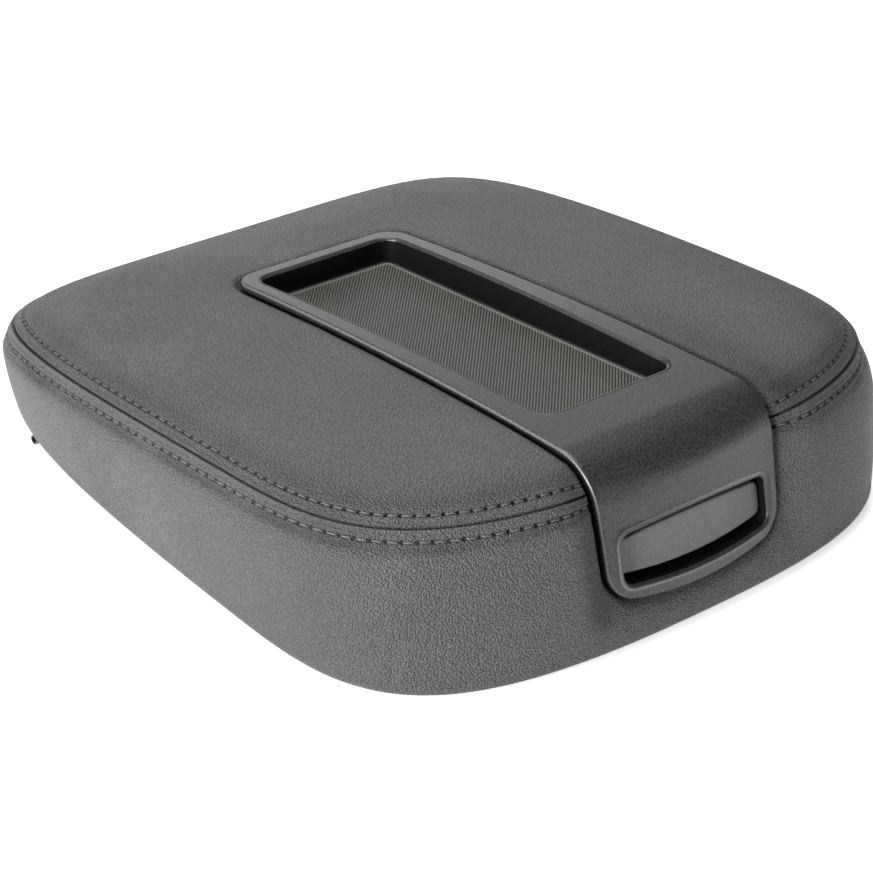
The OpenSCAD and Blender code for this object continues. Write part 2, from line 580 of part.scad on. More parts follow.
module upper_shell() {
    color(plastic_color)
    difference() {
        union() {
            difference() {
                shell_skin();
                channel_cut(bezel_gap + 1, channel_floor);
            }
            // Pan below the tray, joined to the shell's top
            difference() {
                translate([0, 0, pan_z - shell_t]) linear_extrude(height = shell_t + pan_rim) pan_outline(0);
                translate([0, 0, pan_z]) linear_extrude(height = 20) pan_outline(-shell_t);
            }
            for (p = housing_screw_xy)
                translate([p[0], p[1], pan_z - shell_t - 3]) cylinder(d = 7, h = 4, $fn = 32);
            for (p = liner_screw_xy)
                translate([p[0], p[1], plane_z(p[1]) + ledge_low + layer_gap + 1.5]) cylinder(d = 7, h = 8, $fn = 32);
            // Towers that carry the hinge brackets
            for (p = bracket_screw_xy)
                translate([p[0], p[1], plane_z(p[1]) + ledge_low + layer_gap])
                    cylinder(d = 9, h = shell_low_z(p[1]) - plane_z(p[1]) - ledge_low, $fn = 32);
        }
        // Slot for the hooks in the front ledge
        translate([-hook_slot_w, pivot_y + leg_back - 18, -2]) cube([2 * hook_slot_w, leg_t + hook_reach + 15, 24]);
        for (p = bezel_screw_xy)
            translate([p[0], p[1], pan_z - 10]) cylinder(d = screw_d + 0.4, h = 20, $fn = 32);
        for (p = housing_screw_xy)
            translate([p[0], p[1], pan_z - 10]) cylinder(d = screw_d, h = 9, $fn = 32);
        for (p = concat(liner_screw_xy, bracket_screw_xy)) at_plane(p, -4) cylinder(d = screw_d, h = 15, $fn = 32);
    }
}
// Place on the liner's plane at point p, square to that plane and raised from it by lift
module at_plane(p, lift) {
    translate([p[0], p[1], plane_z(p[1])]) rotate([tilt, 0, 0]) translate([0, 0, lift]) children();
}

// One-piece trim: tray, top, front face and the wall round the finger opening
tray_floor_z = trim_top - tray_depth;
floor_t = 2.4;
tub_t = 2.2;
function tray_points(g, in, z) =
    lifted(quad_points(tray_w_front + g - in, tray_w_rear + g - in, -tray_front_y - g + in,
        tray_rear_y + g - in, max(1, tray_corner_r + g - in)), z);
// Tray hollow with drafted walls and a rounded lip, grown by g
module tray_void(g, floor_z, high_z, lip) {
    stack(concat([tray_points(g, tray_draft + 0.8, floor_z), tray_points(g, tray_draft, floor_z + 1)],
        lip > 0 ? [for (a = [0, 30, 60, 90])
            tray_points(g, -lip * (1 - cos(a)), tray_lip_z - lip + lip * sin(a))] : [],
        [tray_points(g, -lip, high_z)]));
}
tray_lip_z = trim_top - 2.4;
bezel_screw_xy = [for (side = [-1, 1]) for (y = [-tray_front_y + 24.4, (tray_rear_y - tray_front_y) / 2, tray_rear_y - 23])
    [side * (tray_w_front - 12.8), y]];
boss_low = pan_z;
module trim_bezel() {
    color(plastic_color)
    difference() {
        union() {
            bezel_sheet();
            intersection() {
                tray_void(tub_t, tray_floor_z - floor_t, trim_top + 1, 0);
                translate([-100, -tray_front_y - 10, 0]) cube([200, top_run, trim_top - 5]);
            }
            opening_prism(tub_t, bezel_t - 0.6, open_collar);
            for (p = bezel_screw_xy)
                translate([p[0], p[1], boss_low]) cylinder(d = 8, h = tray_floor_z - 1 - boss_low, $fn = 32);
        }
        tray_void(0, tray_floor_z, trim_top + 6, tray_lip_r);
        translate([0, 0, tray_floor_z - mat_pocket]) linear_extrude(height = 5) mat_outline(layer_gap);
        opening_prism(0, -8, open_collar + 4);
        for (p = bezel_screw_xy)
            translate([p[0], p[1], boss_low - 1]) cylinder(d = screw_d - 0.5, h = 6, $fn = 32);
    }
}
module mat_outline(g) {
    inset = tray_draft + mat_border - g;
    round_quad(tray_w_front - inset, tray_w_rear - inset, -tray_front_y + inset,
        tray_rear_y - inset, max(2, tray_corner_r - inset));
}
module tray_mat() {
    color("#3a3a39")
    translate([0, 0, tray_floor_z - mat_pocket]) linear_extrude(height = mat_t) mat_outline(0);
}

// Finger opening seen from the front, grown by g
module opening_outline(g) {
    w = open_half_w + g;
    low = open_low + open_low_bow - g;
    high = open_top - open_top_bow + g;
    polygon(rounded(concat([[-w, low, open_r + g]],
        [for (u = bow_steps) [u * w, low - open_low_bow * (1 - u * u), 0]],
        [[w, low, open_r + g], [w, high, open_r + g]],
        [for (u = bow_steps) [-u * w, high + open_top_bow * (1 - u * u), 0]],
        [[-w, high, open_r + g]])));
}
// Distance of the bezel's face in front of the origin at height z, at the centre line
function face_y(z) = -bend_end_y + bezel_bow * pow(sin(bezel_face_angle), 2)
    + (bend_end_z - z) / tan(bezel_face_angle);
// Prism of the opening, leaning as the face does, from depth a to depth b behind the face
module opening_prism(g, a, b) {
    lean = 90 - bezel_face_angle;
    mid_z = (open_top + open_low) / 2;
    translate([0, -face_y(mid_z), mid_z]) rotate([-lean, 0, 0])
        translate([0, b, -mid_z]) rotate([90, 0, 0]) linear_extrude(height = b - a) opening_outline(g);
}

// Latch handle: plate, barrel and two legs with hooks, moulded in one piece
pivot_y = -pivot_front;
spring_half = 8.5;
barrel_half = open_half_w - 0.6;
plate_top = open_top - plate_gap - plate_rise;
web_half = open_half_w - 12;
web_top = open_top - open_top_bow - plate_gap - plate_rise - 1.4;
web_front = -face_y(web_top) + plate_recess;
plate_low = open_low + finger_gap;
plate_front_top = face_y(plate_top) - plate_recess;
plate_front_low = face_y(plate_low) - plate_recess;
module latch_handle() {
    color("#3f4144")
    difference() {
        union() {
            // Plate, cut to the opening's outline
            intersection() {
                translate([-open_half_w, 0, 0]) rotate([90, 0, 90]) linear_extrude(height = 2 * open_half_w)
                    polygon([[-plate_front_top, plate_top], [-plate_front_low, plate_low],
                        [-plate_front_low + plate_t, plate_low], [-plate_front_top + plate_t, plate_top]]);
                opening_prism(-plate_gap, -2, 20);
                translate([0, 0, -plate_rise]) opening_prism(-plate_gap, -2, 20);
            }
            // Webs from the plate to the barrel, either side of the spring
            for (side = [-1, 1])
                translate([side < 0 ? -web_half : spring_half, 0, 0]) rotate([90, 0, 90])
                    linear_extrude(height = web_half - spring_half)
                        polygon([[web_front + 0.6, web_top - 1], [web_front + 1, web_top - 5],
                            [web_front + plate_t, web_top - 7], [pivot_y + barrel_d / 2 - 0.6, pivot_z - 1],
                            [pivot_y + 0.5, pivot_z + barrel_d / 2 - 1.4], [pivot_y - barrel_d / 2 + 0.4, pivot_z],
                            [pivot_y - barrel_d / 2 + 0.4, web_top - 1]]);
            for (side = [-1, 1])
                translate([side < 0 ? -barrel_half : spring_half, pivot_y, pivot_z]) rotate([0, 90, 0])
                    cylinder(d = barrel_d, h = barrel_half - spring_half, $fn = 48);
            for (side = [-1, 1])
                translate([side * leg_x - leg_w / 2, 0, 0]) rotate([90, 0, 90]) linear_extrude(height = leg_w)
                    leg_profile();
            // Cross rib between the legs
            translate([-leg_x, pivot_y + leg_back + 0.6, pivot_z - 31.5]) cube([2 * leg_x, 3, 7]);
        }
        translate([-60, pivot_y, pivot_z]) rotate([0, 90, 0])
            cylinder(d = latch_pin_d + 2 * pin_clear, h = 120, $fn = 48);
    }
}
leg_back = 19.5;
leg_t = 4;
module leg_profile() {
    polygon([[pivot_y - 1, pivot_z - barrel_d / 2 + 0.8], [pivot_y + barrel_d / 2 - 0.4, pivot_z - 0.6],
        [pivot_y + leg_back + leg_t, pivot_z - 16], [pivot_y + leg_back + leg_t, hook_z + 9],
        [pivot_y + leg_back + leg_t + hook_reach, hook_z + 5.4],
        [pivot_y + leg_back + leg_t + hook_reach, hook_z + 3.4],
        [pivot_y + leg_back + leg_t, hook_z], [pivot_y + leg_back, hook_z],
        [pivot_y + leg_back, pivot_z - 17]]);
}
pin_half = open_half_w + 6;
module latch_pin() {
    color(steel_color)
    translate([-pin_half, pivot_y, pivot_z]) rotate([0, 90, 0]) cylinder(d = latch_pin_d, h = 2 * pin_half, $fn = 48);
}
// Return spring: a torsion coil on the pin with one leg on the housing, one on the cross rib
coil_r = latch_pin_d / 2 + 0.5 + latch_wire_d / 2;
coil_pitch = latch_wire_d + 0.4;
coil_sides = 6;
coil_steps = 12;
function coil_centre(t) =
    let (a = 360 * t) [-coil_pitch * latch_turns / 2 + coil_pitch * t, pivot_y + coil_r * cos(a), pivot_z + coil_r * sin(a)];
module wire_path(path, r) {
    n = len(path);
    rings = [for (k = [0:n - 1])
        let (d = unit(path[min(n - 1, k + 1)] - path[max(0, k - 1)]))
        let (u = unit(cross(d, abs(d[0]) < 0.9 ? [1, 0, 0] : [0, 0, 1])), v = cross(d, u))
        [for (j = [0:coil_sides - 1]) path[k] + r * (cos(360 * j / coil_sides) * u + sin(360 * j / coil_sides) * v)]];
    pts = [for (q = rings) each q];
    body = [for (k = [0:n - 2]) for (j = [0:coil_sides - 1])
        let (a = k * coil_sides + j, b = k * coil_sides + (j + 1) % coil_sides)
        each [[a, a + coil_sides, b], [b, a + coil_sides, b + coil_sides]]];
    caps = [[for (j = [0:coil_sides - 1]) j], [for (j = [coil_sides - 1:-1:0]) (n - 1) * coil_sides + j]];
    polyhedron(points = pts, faces = concat(body, caps), convexity = 10);
}
module latch_spring() {
    color("#8a8c8e")
    wire_path(concat(
        [[-coil_pitch * latch_turns / 2, pivot_y + coil_r, pivot_z - 14]],
        [for (k = [0:latch_turns * coil_steps]) coil_centre(k / coil_steps)],
        [[coil_pitch * latch_turns / 2, pivot_y + coil_r, pivot_z + 3]]), latch_wire_d / 2);
}

// Moulded housing behind the opening; its cheeks carry the latch pin
house_in = open_half_w + 3.8;
house_t = 2.2;
house_back = pivot_front - 29.5;
house_top = pan_z - shell_t - 3;
house_low = open_low + 1.4;
house_front = pivot_front + 2.5;
housing_screw_xy = [[-34, pan_boss_y + 8], [0, pan_boss_y + 8], [34, pan_boss_y + 8]];
module latch_housing() {
    color(plastic_color)
    difference() {
        union() {
            for (side = [-1, 1])
                translate([side < 0 ? -house_in - house_t : house_in, -house_front, house_low])
                    cube([house_t, house_front - house_back, house_top - house_low]);
            translate([-house_in - house_t, -house_back - house_t, house_low])
                cube([2 * (house_in + house_t), house_t, house_top - house_low]);
            translate([-house_in - house_t, -house_front + 6, house_top - house_t])
                cube([2 * (house_in + house_t), house_front - 6 + pan_boss_y + 13, house_t]);
            for (side = [-1, 1])
                translate([side < 0 ? -house_in - house_t : house_in - 2, pivot_y, pivot_z]) rotate([0, 90, 0])
                    cylinder(d = latch_pin_d + 4, h = house_t + 2, $fn = 48);
        }
        translate([-60, pivot_y, pivot_z]) rotate([0, 90, 0]) cylinder(d = latch_pin_d, h = 120, $fn = 48);
        for (p = housing_screw_xy)
            translate([p[0], p[1], house_top - 6]) cylinder(d = screw_d + 0.4, h = 8, $fn = 32);
    }
}

// Pan-head screw with its head's seat at the origin, shank upwards
module screw(len_s) {
    cylinder(d = screw_d - 0.02, h = len_s - 1, $fn = 32);
    translate([0, 0, len_s - 1]) cylinder(d1 = screw_d - 0.02, d2 = 1, h = 1, $fn = 32);
    difference() {
        translate([0, 0, -2]) rotate_extrude($fn = 48)
            polygon([[0, 0], [screw_head_d / 2 - 0.9, 0], [screw_head_d / 2 - 0.2, 0.6], [screw_head_d / 2, 1.3],
                [screw_head_d / 2, 2], [0, 2]]);
        for (a = [0, 90])
            rotate([0, 0, a]) translate([-1.8, -0.4, -2.1]) cube([3.6, 0.8, 1.1]);
    }
}
module bezel_screws() {
    color(steel_color)
    for (p = bezel_screw_xy)
        translate([p[0], p[1], pan_z - shell_t]) screw(7);
}
module housing_screws() {
    color(steel_color)
    for (p = housing_screw_xy)
        translate([p[0], p[1], house_top - house_t]) screw(7);
}

// Outer and inner faces of the hinge brackets
cheek_out = hinge_end_x - 9;
cheek_in = cheek_out - 2 * bracket_t - bracket_gap;

// Liner: a flange under the shell's ledge and a raised middle, parallel to the lower rim
liner_low = ledge_low - leather_t - liner_t - 0.2;
module liner_outline(inset) {
    polygon([for (i = [0:ring_n - 1]) let (p = outline[i] - normals[i] * inset)
        [p[0], (p[1] + seam_front) / cos(tilt)]]);
}
module on_plane() {
    translate([0, -seam_front, plane_z(-seam_front)]) rotate([tilt, 0, 0]) children();
}
hook_slot_w = leg_x + leg_w / 2 + 3;
liner_screw_in = 22;
liner_places = [10, 13, 16, 20, 27, 37, 44, 48, 51, 54];
liner_screw_xy = [for (i = liner_places) outline[i] - normals[i] * liner_screw_in];
// Raised middle of the liner, narrower between the hinge brackets
pan_w = seam_half_w - liner_pan_inset - 5;
pan_w_rear = cheek_in - 8;
module liner_pan(g) {
    front = -seam_front + liner_pan_inset + 16 - g;
    rear = seam_rear - liner_pan_inset - 2 + g;
    step = hinge_y - 64 + g;
    polygon(rounded([for (q = [[-pan_w, front, 18], [pan_w, front, 18], [pan_w, step, 8], [pan_w_rear, step + 14, 8],
        [pan_w_rear, rear, 10], [-pan_w_rear, rear, 10], [-pan_w_rear, step + 14, 8], [-pan_w, step, 8]])
        [q[0] + sign(q[0]) * g, (q[1] + seam_front) / cos(tilt), q[2]]]));
}
module inner_liner() {
    color("#2a2b2c")
    difference() {
        on_plane() difference() {
            union() {
                translate([0, 0, liner_low]) linear_extrude(height = liner_t) liner_outline(liner_inset);
                translate([0, 0, liner_low]) linear_extrude(height = liner_pan_h + liner_t) liner_pan(0);
            }
            translate([0, 0, liner_low - 1]) linear_extrude(height = liner_pan_h + 1) liner_pan(-liner_t);
        }
        translate([-hook_slot_w, pivot_y + leg_back - 13, -10]) cube([2 * hook_slot_w, leg_t + hook_reach + 22, 60]);
        for (p = concat(liner_screw_xy, bracket_screw_xy)) at_plane(p, -4) cylinder(d = screw_d + 0.4, h = 15, $fn = 32);
    }
}
module liner_screws() {
    color(steel_color)
    for (p = liner_screw_xy)
        at_plane(p, liner_low) screw(liner_t + 6.5);
}
stop_xy = [for (side = [-1, 1]) [side * (seam_half_w - 61), -seam_front + 25.2]];
module rubber_stops() {
    color("#1b1b1b")
    for (p = stop_xy)
        at_plane(p, liner_low) mirror([0, 0, 1])
            cylinder(d1 = stop_d, d2 = stop_d - 3, h = 2.5, $fn = 48);
}

// Hinge bracket: two cheeks and a mounting plate, bent from one sheet
bracket_seat = liner_low - 0.06;
bracket_screw_xy = [for (side = [-1, 1]) for (dx = [-6, 6]) for (dy = [0])
    [side * (cheek_in + bracket_t + bracket_gap / 2), hinge_y - 42 + dx]];
module bracket_profile() {
    hull() {
        translate([hinge_y, hinge_z]) circle(d = 10, $fn = 48);
        translate([hinge_y - 8, plane_z(hinge_y - 8) + bracket_seat - 1]) circle(d = 2, $fn = 24);
        translate([hinge_y - 50, plane_z(hinge_y - 50) + bracket_seat - 1]) circle(d = 2, $fn = 24);
    }
}
module hinge_bracket() {
    difference() {
        union() {
            for (x = [cheek_in, cheek_in + bracket_t + bracket_gap])
                translate([x, 0, 0]) rotate([90, 0, 90]) linear_extrude(height = bracket_t) bracket_profile();
            translate([cheek_in, hinge_y - 50, plane_z(hinge_y - 50) + bracket_seat - bracket_t])
                rotate([tilt, 0, 0]) cube([2 * bracket_t + bracket_gap, 42, bracket_t]);
        }
        translate([cheek_in - 5, hinge_y, hinge_z]) rotate([0, 90, 0])
            cylinder(d = hinge_pin_d, h = 60, $fn = 48);
        for (p = bracket_screw_xy)
            at_plane([abs(p[0]), p[1]], -10) cylinder(d = screw_d + 0.6, h = 15, $fn = 32);
    }
}
module hinge_bracket_right() {
    color(steel_color) hinge_bracket();
}
module hinge_bracket_left() {
    color(steel_color) mirror([1, 0, 0]) hinge_bracket();
}
module bracket_screws() {
    color(steel_color)
    for (p = bracket_screw_xy)
        at_plane(p, (bracket_seat - bracket_t) * cos(tilt)) screw(12);
}

// Hinge base: a plate for the console, with a rolled knuckle at each end
knuckle_d = 11;
bush_t = 1.2;
bush_od = hinge_pin_d + 2.4;
knuckle_in = cheek_in + bracket_t + bush_t + 0.3;
knuckle_len = bracket_gap - 2 * bush_t - 0.6;
base_half = knuckle_in + knuckle_len;
base_back = hinge_y - 4;
base_holes = [for (x = [-1, 1]) for (y = [0, 1])
    [x * base_hole_span / 2, base_back - base_depth + 12 + y * base_hole_pitch]];
module hinge_base() {
    color("#3a3c3e")
    difference() {
        union() {
            translate([0, base_back - base_depth + 10, 0]) hull() {
                for (side = [-1, 1])
                    translate([side * (base_half - 34), 0, 0]) cylinder(r = 10, h = base_t, $fn = 48);
                for (side = [-1, 1])
                    translate([side * (base_half - 12), base_depth - 24, 0]) cylinder(r = 10, h = base_t, $fn = 48);
            }
            for (side = [-1, 1])
                translate([side < 0 ? -base_half : knuckle_in, 0, 0]) rotate([90, 0, 90])
                    linear_extrude(height = knuckle_len) union() {
                        translate([hinge_y, hinge_z]) circle(d = knuckle_d, $fn = 48);
                        polygon([[hinge_y - knuckle_d / 2, hinge_z], [hinge_y - knuckle_d / 2 + base_t, hinge_z],
                            [hinge_y - knuckle_d / 2 + base_t, base_t], [hinge_y - knuckle_d / 2 - 1, 0],
                            [hinge_y - knuckle_d / 2 - 14, 0], [hinge_y - knuckle_d / 2 - 14, base_t],
                            [hinge_y - knuckle_d / 2 - 2, base_t + 2]]);
                    }
            // Pressed stiffening rib between the holes
            translate([0, base_back - base_depth / 2, base_t - 0.5]) hull()
                for (side = [-1, 1])
                    translate([side * (base_hole_span / 2 - 22), 0, 0]) cylinder(d1 = 12, d2 = 8, h = 2.5, $fn = 48);
        }
        for (side = [-1, 1])
            translate([side < 0 ? -base_half - 1 : knuckle_in - 1, hinge_y, hinge_z]) rotate([0, 90, 0])
                cylinder(d = bush_od, h = knuckle_len + 2, $fn = 48);
        for (p = base_holes)
            translate([p[0], p[1], -1]) cylinder(d = base_hole_d, h = base_t + 4, $fn = 48);
    }
}
module bush() {
    difference() {
        union() {
            cylinder(d = bush_od, h = knuckle_len / 2 - 0.2, $fn = 48);
            translate([0, 0, -bush_t]) cylinder(d = bush_od + 3.6, h = bush_t, $fn = 48);
        }
        translate([0, 0, -bush_t - 1]) cylinder(d = hinge_pin_d + 2 * pin_clear, h = knuckle_len, $fn = 48);
    }
}
module hinge_bushes() {
    color("#d8d4c8")
    for (side = [-1, 1])
        for (end = [0, 1])
            translate([side * (knuckle_in + end * knuckle_len), hinge_y, hinge_z])
                rotate([0, side * (end == 0 ? 90 : -90), 0]) bush();
}
clip_x = cheek_in - 0.2;
module hinge_pin() {
    difference() {
        union() {
            translate([clip_x - 4, hinge_y, hinge_z]) rotate([0, 90, 0])
                cylinder(d = hinge_pin_d, h = cheek_out - clip_x + 4, $fn = 48);
            translate([cheek_out, hinge_y, hinge_z]) rotate([0, 90, 0])
                cylinder(d = hinge_head_d, h = 2, $fn = 48);
            translate([cheek_out + 1, hinge_y, hinge_z]) rotate([0, 90, 0])
                cylinder(d = hinge_pin_d, h = hinge_end_x - cheek_out - 1, $fn = 48);
        }
        // Hollow of the half-tubular end
        translate([hinge_end_x - 3, hinge_y, hinge_z]) rotate([0, 90, 0])
            cylinder(d = hinge_pin_d - 1.6, h = 5, $fn = 48);
        // Groove for the clip
        translate([clip_x - 1.2, hinge_y, hinge_z]) rotate([0, 90, 0]) difference() {
            cylinder(d = hinge_pin_d + 4, h = 1, $fn = 48);
            translate([0, 0, -1]) cylinder(d = hinge_pin_d - 1.6, h = 3, $fn = 48);
        }
    }
}
module hinge_pin_right() {
    color(steel_color) hinge_pin();
}
module hinge_pin_left() {
    color(steel_color) mirror([1, 0, 0]) hinge_pin();
}
module hinge_clips() {
    color("#77797b")
    for (side = [-1, 1])
        translate([side * (clip_x - 1.1), hinge_y, hinge_z]) rotate([0, side * 90, 0]) difference() {
            cylinder(d = hinge_pin_d + 5, h = 0.8, $fn = 48);
            translate([0, 0, -1]) cylinder(d = hinge_pin_d - 1.6, h = 3, $fn = 48);
            translate([-hinge_pin_d, -1.8, -1]) cube([hinge_pin_d, 3.6, 3]);
        }
}

top_panel();
side_panel();
foam_pad();
upper_shell();
trim_bezel();
tray_mat();
bezel_screws();
latch_housing();
housing_screws();
latch_handle();
latch_pin();
latch_spring();
inner_liner();
liner_screws();
rubber_stops();
hinge_bracket_left();
hinge_bracket_right();
bracket_screws();
hinge_base();
hinge_bushes();
hinge_pin_left();
hinge_pin_right();
hinge_clips();
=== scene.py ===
import math

import bmesh
import bpy
import numpy as np
from mathutils import Matrix, Vector
from mathutils.geometry import delaunay_2d_cdt


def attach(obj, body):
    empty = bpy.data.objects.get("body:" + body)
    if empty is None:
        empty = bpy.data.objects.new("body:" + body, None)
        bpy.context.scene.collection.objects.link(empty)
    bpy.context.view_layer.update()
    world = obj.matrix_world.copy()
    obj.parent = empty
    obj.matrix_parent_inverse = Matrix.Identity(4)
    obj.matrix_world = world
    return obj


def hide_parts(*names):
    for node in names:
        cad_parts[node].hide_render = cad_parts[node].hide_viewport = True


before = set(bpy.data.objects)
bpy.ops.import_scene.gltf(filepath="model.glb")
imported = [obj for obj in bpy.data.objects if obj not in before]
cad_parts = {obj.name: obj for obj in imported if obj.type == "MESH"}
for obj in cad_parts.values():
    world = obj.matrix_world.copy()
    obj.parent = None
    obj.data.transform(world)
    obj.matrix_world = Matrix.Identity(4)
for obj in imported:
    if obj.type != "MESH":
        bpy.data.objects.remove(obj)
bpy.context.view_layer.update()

MM = 0.001

# Sizes are in mm. Most are the CAD source's; the opening's top and the handle's plate follow the
# photograph more closely, and fine relief has sizes of its own.

# seam and body
SEAM_HALF_W = 165.0
SEAM_FRONT = 164.2
SEAM_REAR = 171.8
WIDEST_FRONT = 52.0
FRONT_FLAT = 157.2
SIDE_FLAT_FRONT = 63.8
SIDE_FLAT_REAR = 239.0
REAR_FLAT = 152.0
TRIM_TOP = 88.6
SEAM_TOP = 77.7
SEAM_PEAK_Y = 30.0
SEAM_ARCH = 3.0
SEAM_ARCH_RUN = 160
REAR_DIP_Y = 97.0
REAR_DIP = 2.3
REAR_DIP_RUN = 60
CROWN_RISE = 9.5
CROWN_ROLL = 12.5
RIM_FRONT = 1.5
RIM_REAR = 43.8
RIM_SAG = 1.6
RIM_SIDE_DROP = 6.3
SIDE_BULGE = 6.6
BULGE_AT = 0.3  # share of the wall's height at which it bulges most
SIDE_TUCK = 3.8
WALL_LEAN = 0.15
RIM_R = 6.5
LEDGE_LOW = 4.4  # ledge that the cover's end is wrapped on, above the underside's plane
LEDGE_IN = 9.0
WRAP_IN = 17.0
LEATHER_T = 1.6

# trim, with half widths
W_REAR = 50.4
W_BEND = 55.0
W_LOW = 52.0
TRIM_REAR_Y = 96.4
CROWN_R = 2200.0
BEND_R = 26.0
BEND_Y = 136.0
FACE_ANGLE = math.radians(79.0)
FACE_LEN = 46.6
FACE_BOW = 4.5
LOW_BOW = 5.2
CORNER_R = 13.0
TRIM_SINK = 0.8
PULL_REAR_Y = 0.0  # leather in front of this is drawn towards the trim
PULL_LOW_Z = 20
PULL_BELOW = 1.5
TRIM_ROLL = 13.0
TRIM_T = 2.6
TRIM_INSETS = (0, 0.12, 0.35, 0.7, 1.2, 2.0)
GRID_STEP = 9.0  # rows of points on the top, and closer ones on the front
GRID_STEP_FRONT = 3.2
GRID_HALF_W = 54
GRID_COLUMNS = 28
EDGE_R = 1.2
EDGE_HIGHLIGHT_W = 0.5  # width of the trim's edge that gets a painted highlight
SKIRT = 5.0
# the foam's bevel, as (distance outside the trim, height above its face)
BEVEL_SECTION = ((-3.5, -13.0), (1.0, -13.0), (3.0, -8.0), (8.5, -2.6), (8.5, 16.0), (-3.5, 16.0))

# tray and mat
TRAY_W_REAR = 42.0
TRAY_W_FRONT = 39.8
TRAY_REAR_Y = 88.0
TRAY_FRONT_Y = 111.4
TRAY_DEPTH = 13.2
TRAY_CORNER_R = 8.0
TRAY_DRAFT = 1.6
TRAY_FILLET = 1.0
TRAY_STEPS = 240
LIP_R = 1.5
LIP_APRON = 0.8
MAT_BORDER = 3.0
MAT_POCKET = 1.2
MAT_T = 1.6
MAT_SINK = 0.25
MAT_STEP = 0.4
MAT_PITCH = 1.4
MAT_SHARP = 1.4
MAT_EDGE = 1.6
RIDGE_SHARE = 0.68
MAT_RELIEF = 0.75

# finger opening
OPEN_HALF_W = 44.6
OPEN_TOP = 51.2
OPEN_LOW = 24.6
OPEN_TOP_BOW = 2.6
OPEN_LOW_BOW = 2.6
OPEN_R = 5.0
OPEN_STEPS = 200
BOW_STEPS = (-0.85, -0.7, -0.5, -0.25, 0, 0.25, 0.5, 0.7, 0.85)
OPEN_COLLAR = 7.0
COLLAR_T = 1.2
SCOOP = 19.0  # how much further in the collar's lower side reaches
SCOOP_H = 3
SCOOP_FADE = 2.5
OPEN_FILLET = 0.9
BEAD_W = 1.5
BEAD_H = 0.6

# handle: its plate and arm
PLATE_RECESS = 5.6
PLATE_FACE_T = 1.2
PLATE_SIDE = 3.2
PLATE_EDGE = ((0, 0.7), (-0.1, 0.35), (-0.35, 0.1), (-0.7, 0.0), (-2.0, 0.0))
PLATE_RINGS = (0.85, 0.7, 0.55, 0.4, 0.25, 0.1)
PLATE_R = 3.4
PLATE_LOW_BOW = 2.4
PLATE_BACK = 1.2
PLATE_DROP = 2.2  # the CAD plate's top is lowered, from DROP_FROM upwards
DROP_FROM = 40
DROP_OVER = 8
ARM_FRONT = -156.7
ARM_TOP = 54.2
ARM_H = 4.2
ARM_BACK = 1.6
PLATE_T = 3.0
PLATE_GAP = 0.8
PLATE_TOP = 47.4
PLATE_LOW = 28.0
FINGER_GAP = 7.4

# places that follow from these
END_PHI = math.radians(3.7)
BEND_Z = TRIM_TOP - CROWN_R * (1 - math.cos(END_PHI))
BEND_CY = -BEND_Y + BEND_R * math.sin(END_PHI)
BEND_CZ = BEND_Z - BEND_R * math.cos(END_PHI)
BEND_END_Y = BEND_CY - BEND_R * math.sin(FACE_ANGLE)
BEND_END_Z = BEND_CZ + BEND_R * math.cos(FACE_ANGLE)
TOP_RUN = TRIM_REAR_Y + BEND_Y
BEND_LEN = BEND_R * (FACE_ANGLE - END_PHI)
START_PHI = END_PHI - TOP_RUN / CROWN_R
LOW_END = TOP_RUN + BEND_LEN + FACE_LEN - LOW_BOW
BODY_LEN = SEAM_FRONT + SEAM_REAR
RIM_SLOPE = (RIM_REAR - RIM_FRONT) / BODY_LEN
MID_Y = (SEAM_REAR - SEAM_FRONT) / 2
FAR = 99.0  # stands for a point well away from the seam or the trim

# stitched leather
STITCHES = 184
COLUMNS_PER_STITCH = 5
COLUMNS = STITCHES * COLUMNS_PER_STITCH
STITCH_SAMPLES = 12
STITCH_IN = 5.2
STITCH_DOWN = 5.0
STITCH_LEN = 4.5
STITCH_SINK = 0.5
STITCH_CLEAR = 2.2
STITCH_TILT = 0.05
THREAD_R = 0.34
THREAD_RISE = 0.9
THREAD_DROP = 0.7
THREAD_TIP = 0.55
HOLE_R = 0.75
HOLE_DEPTH = 0.9

# gap beside the trim, which the leather rolls into
GAP_W = 1.3
GAP_FALL = 1.2
GAP_FLOOR = 2.5
ROLL_R = 4.2
HIDDEN = -1.5
POCKET_DEPTH = 1.6
POCKET_REACH = 13.0
POCKET_FROM = 20
POCKET_OVER = 60

# seam, the stitches' pull and the painted shade along the stitches
SEAM_SLIT = 0.42
SLIT_DEPTH = 2.6
PUCKER = 0.55
PUCKER_W = 0.85
CREASE_W = 2.4
SEAM_SHADE_VARIES = 0.3

# relief beside the seam: folds, tufts and the groove as (height, distance from the seam, width), creases
# as (distance, height); the painted shade along the stitches as (distance, width, share)
TOP_FOLDS = ((0.3, 0.9, 0.45), (-0.2, 2.3, 0.5), (0.35, 11.5, 4.0))
TOP_TUFT = (0.22, STITCH_IN + 1.9, 0.9)
TOP_CREASES = (STITCH_IN + 2.2, 0.10)
TOP_SEAM_SHADE = (10.0, 6.0, 0.28)
SIDE_FOLDS = ((0.4, 0.9, 0.45), (-0.25, 2.4, 0.6))
SIDE_TUFT = (0.3, STITCH_DOWN - 1.3, 0.8)
SIDE_CREASES = (STITCH_DOWN + 2.6, 0.2)
SIDE_SEAM_SHADE = (STITCH_DOWN + 2.8, 2.6, 0.42)
GROOVE = (0.55, STITCH_DOWN + 2.4, 1.9)
GROOVE_VARIES = 0.16

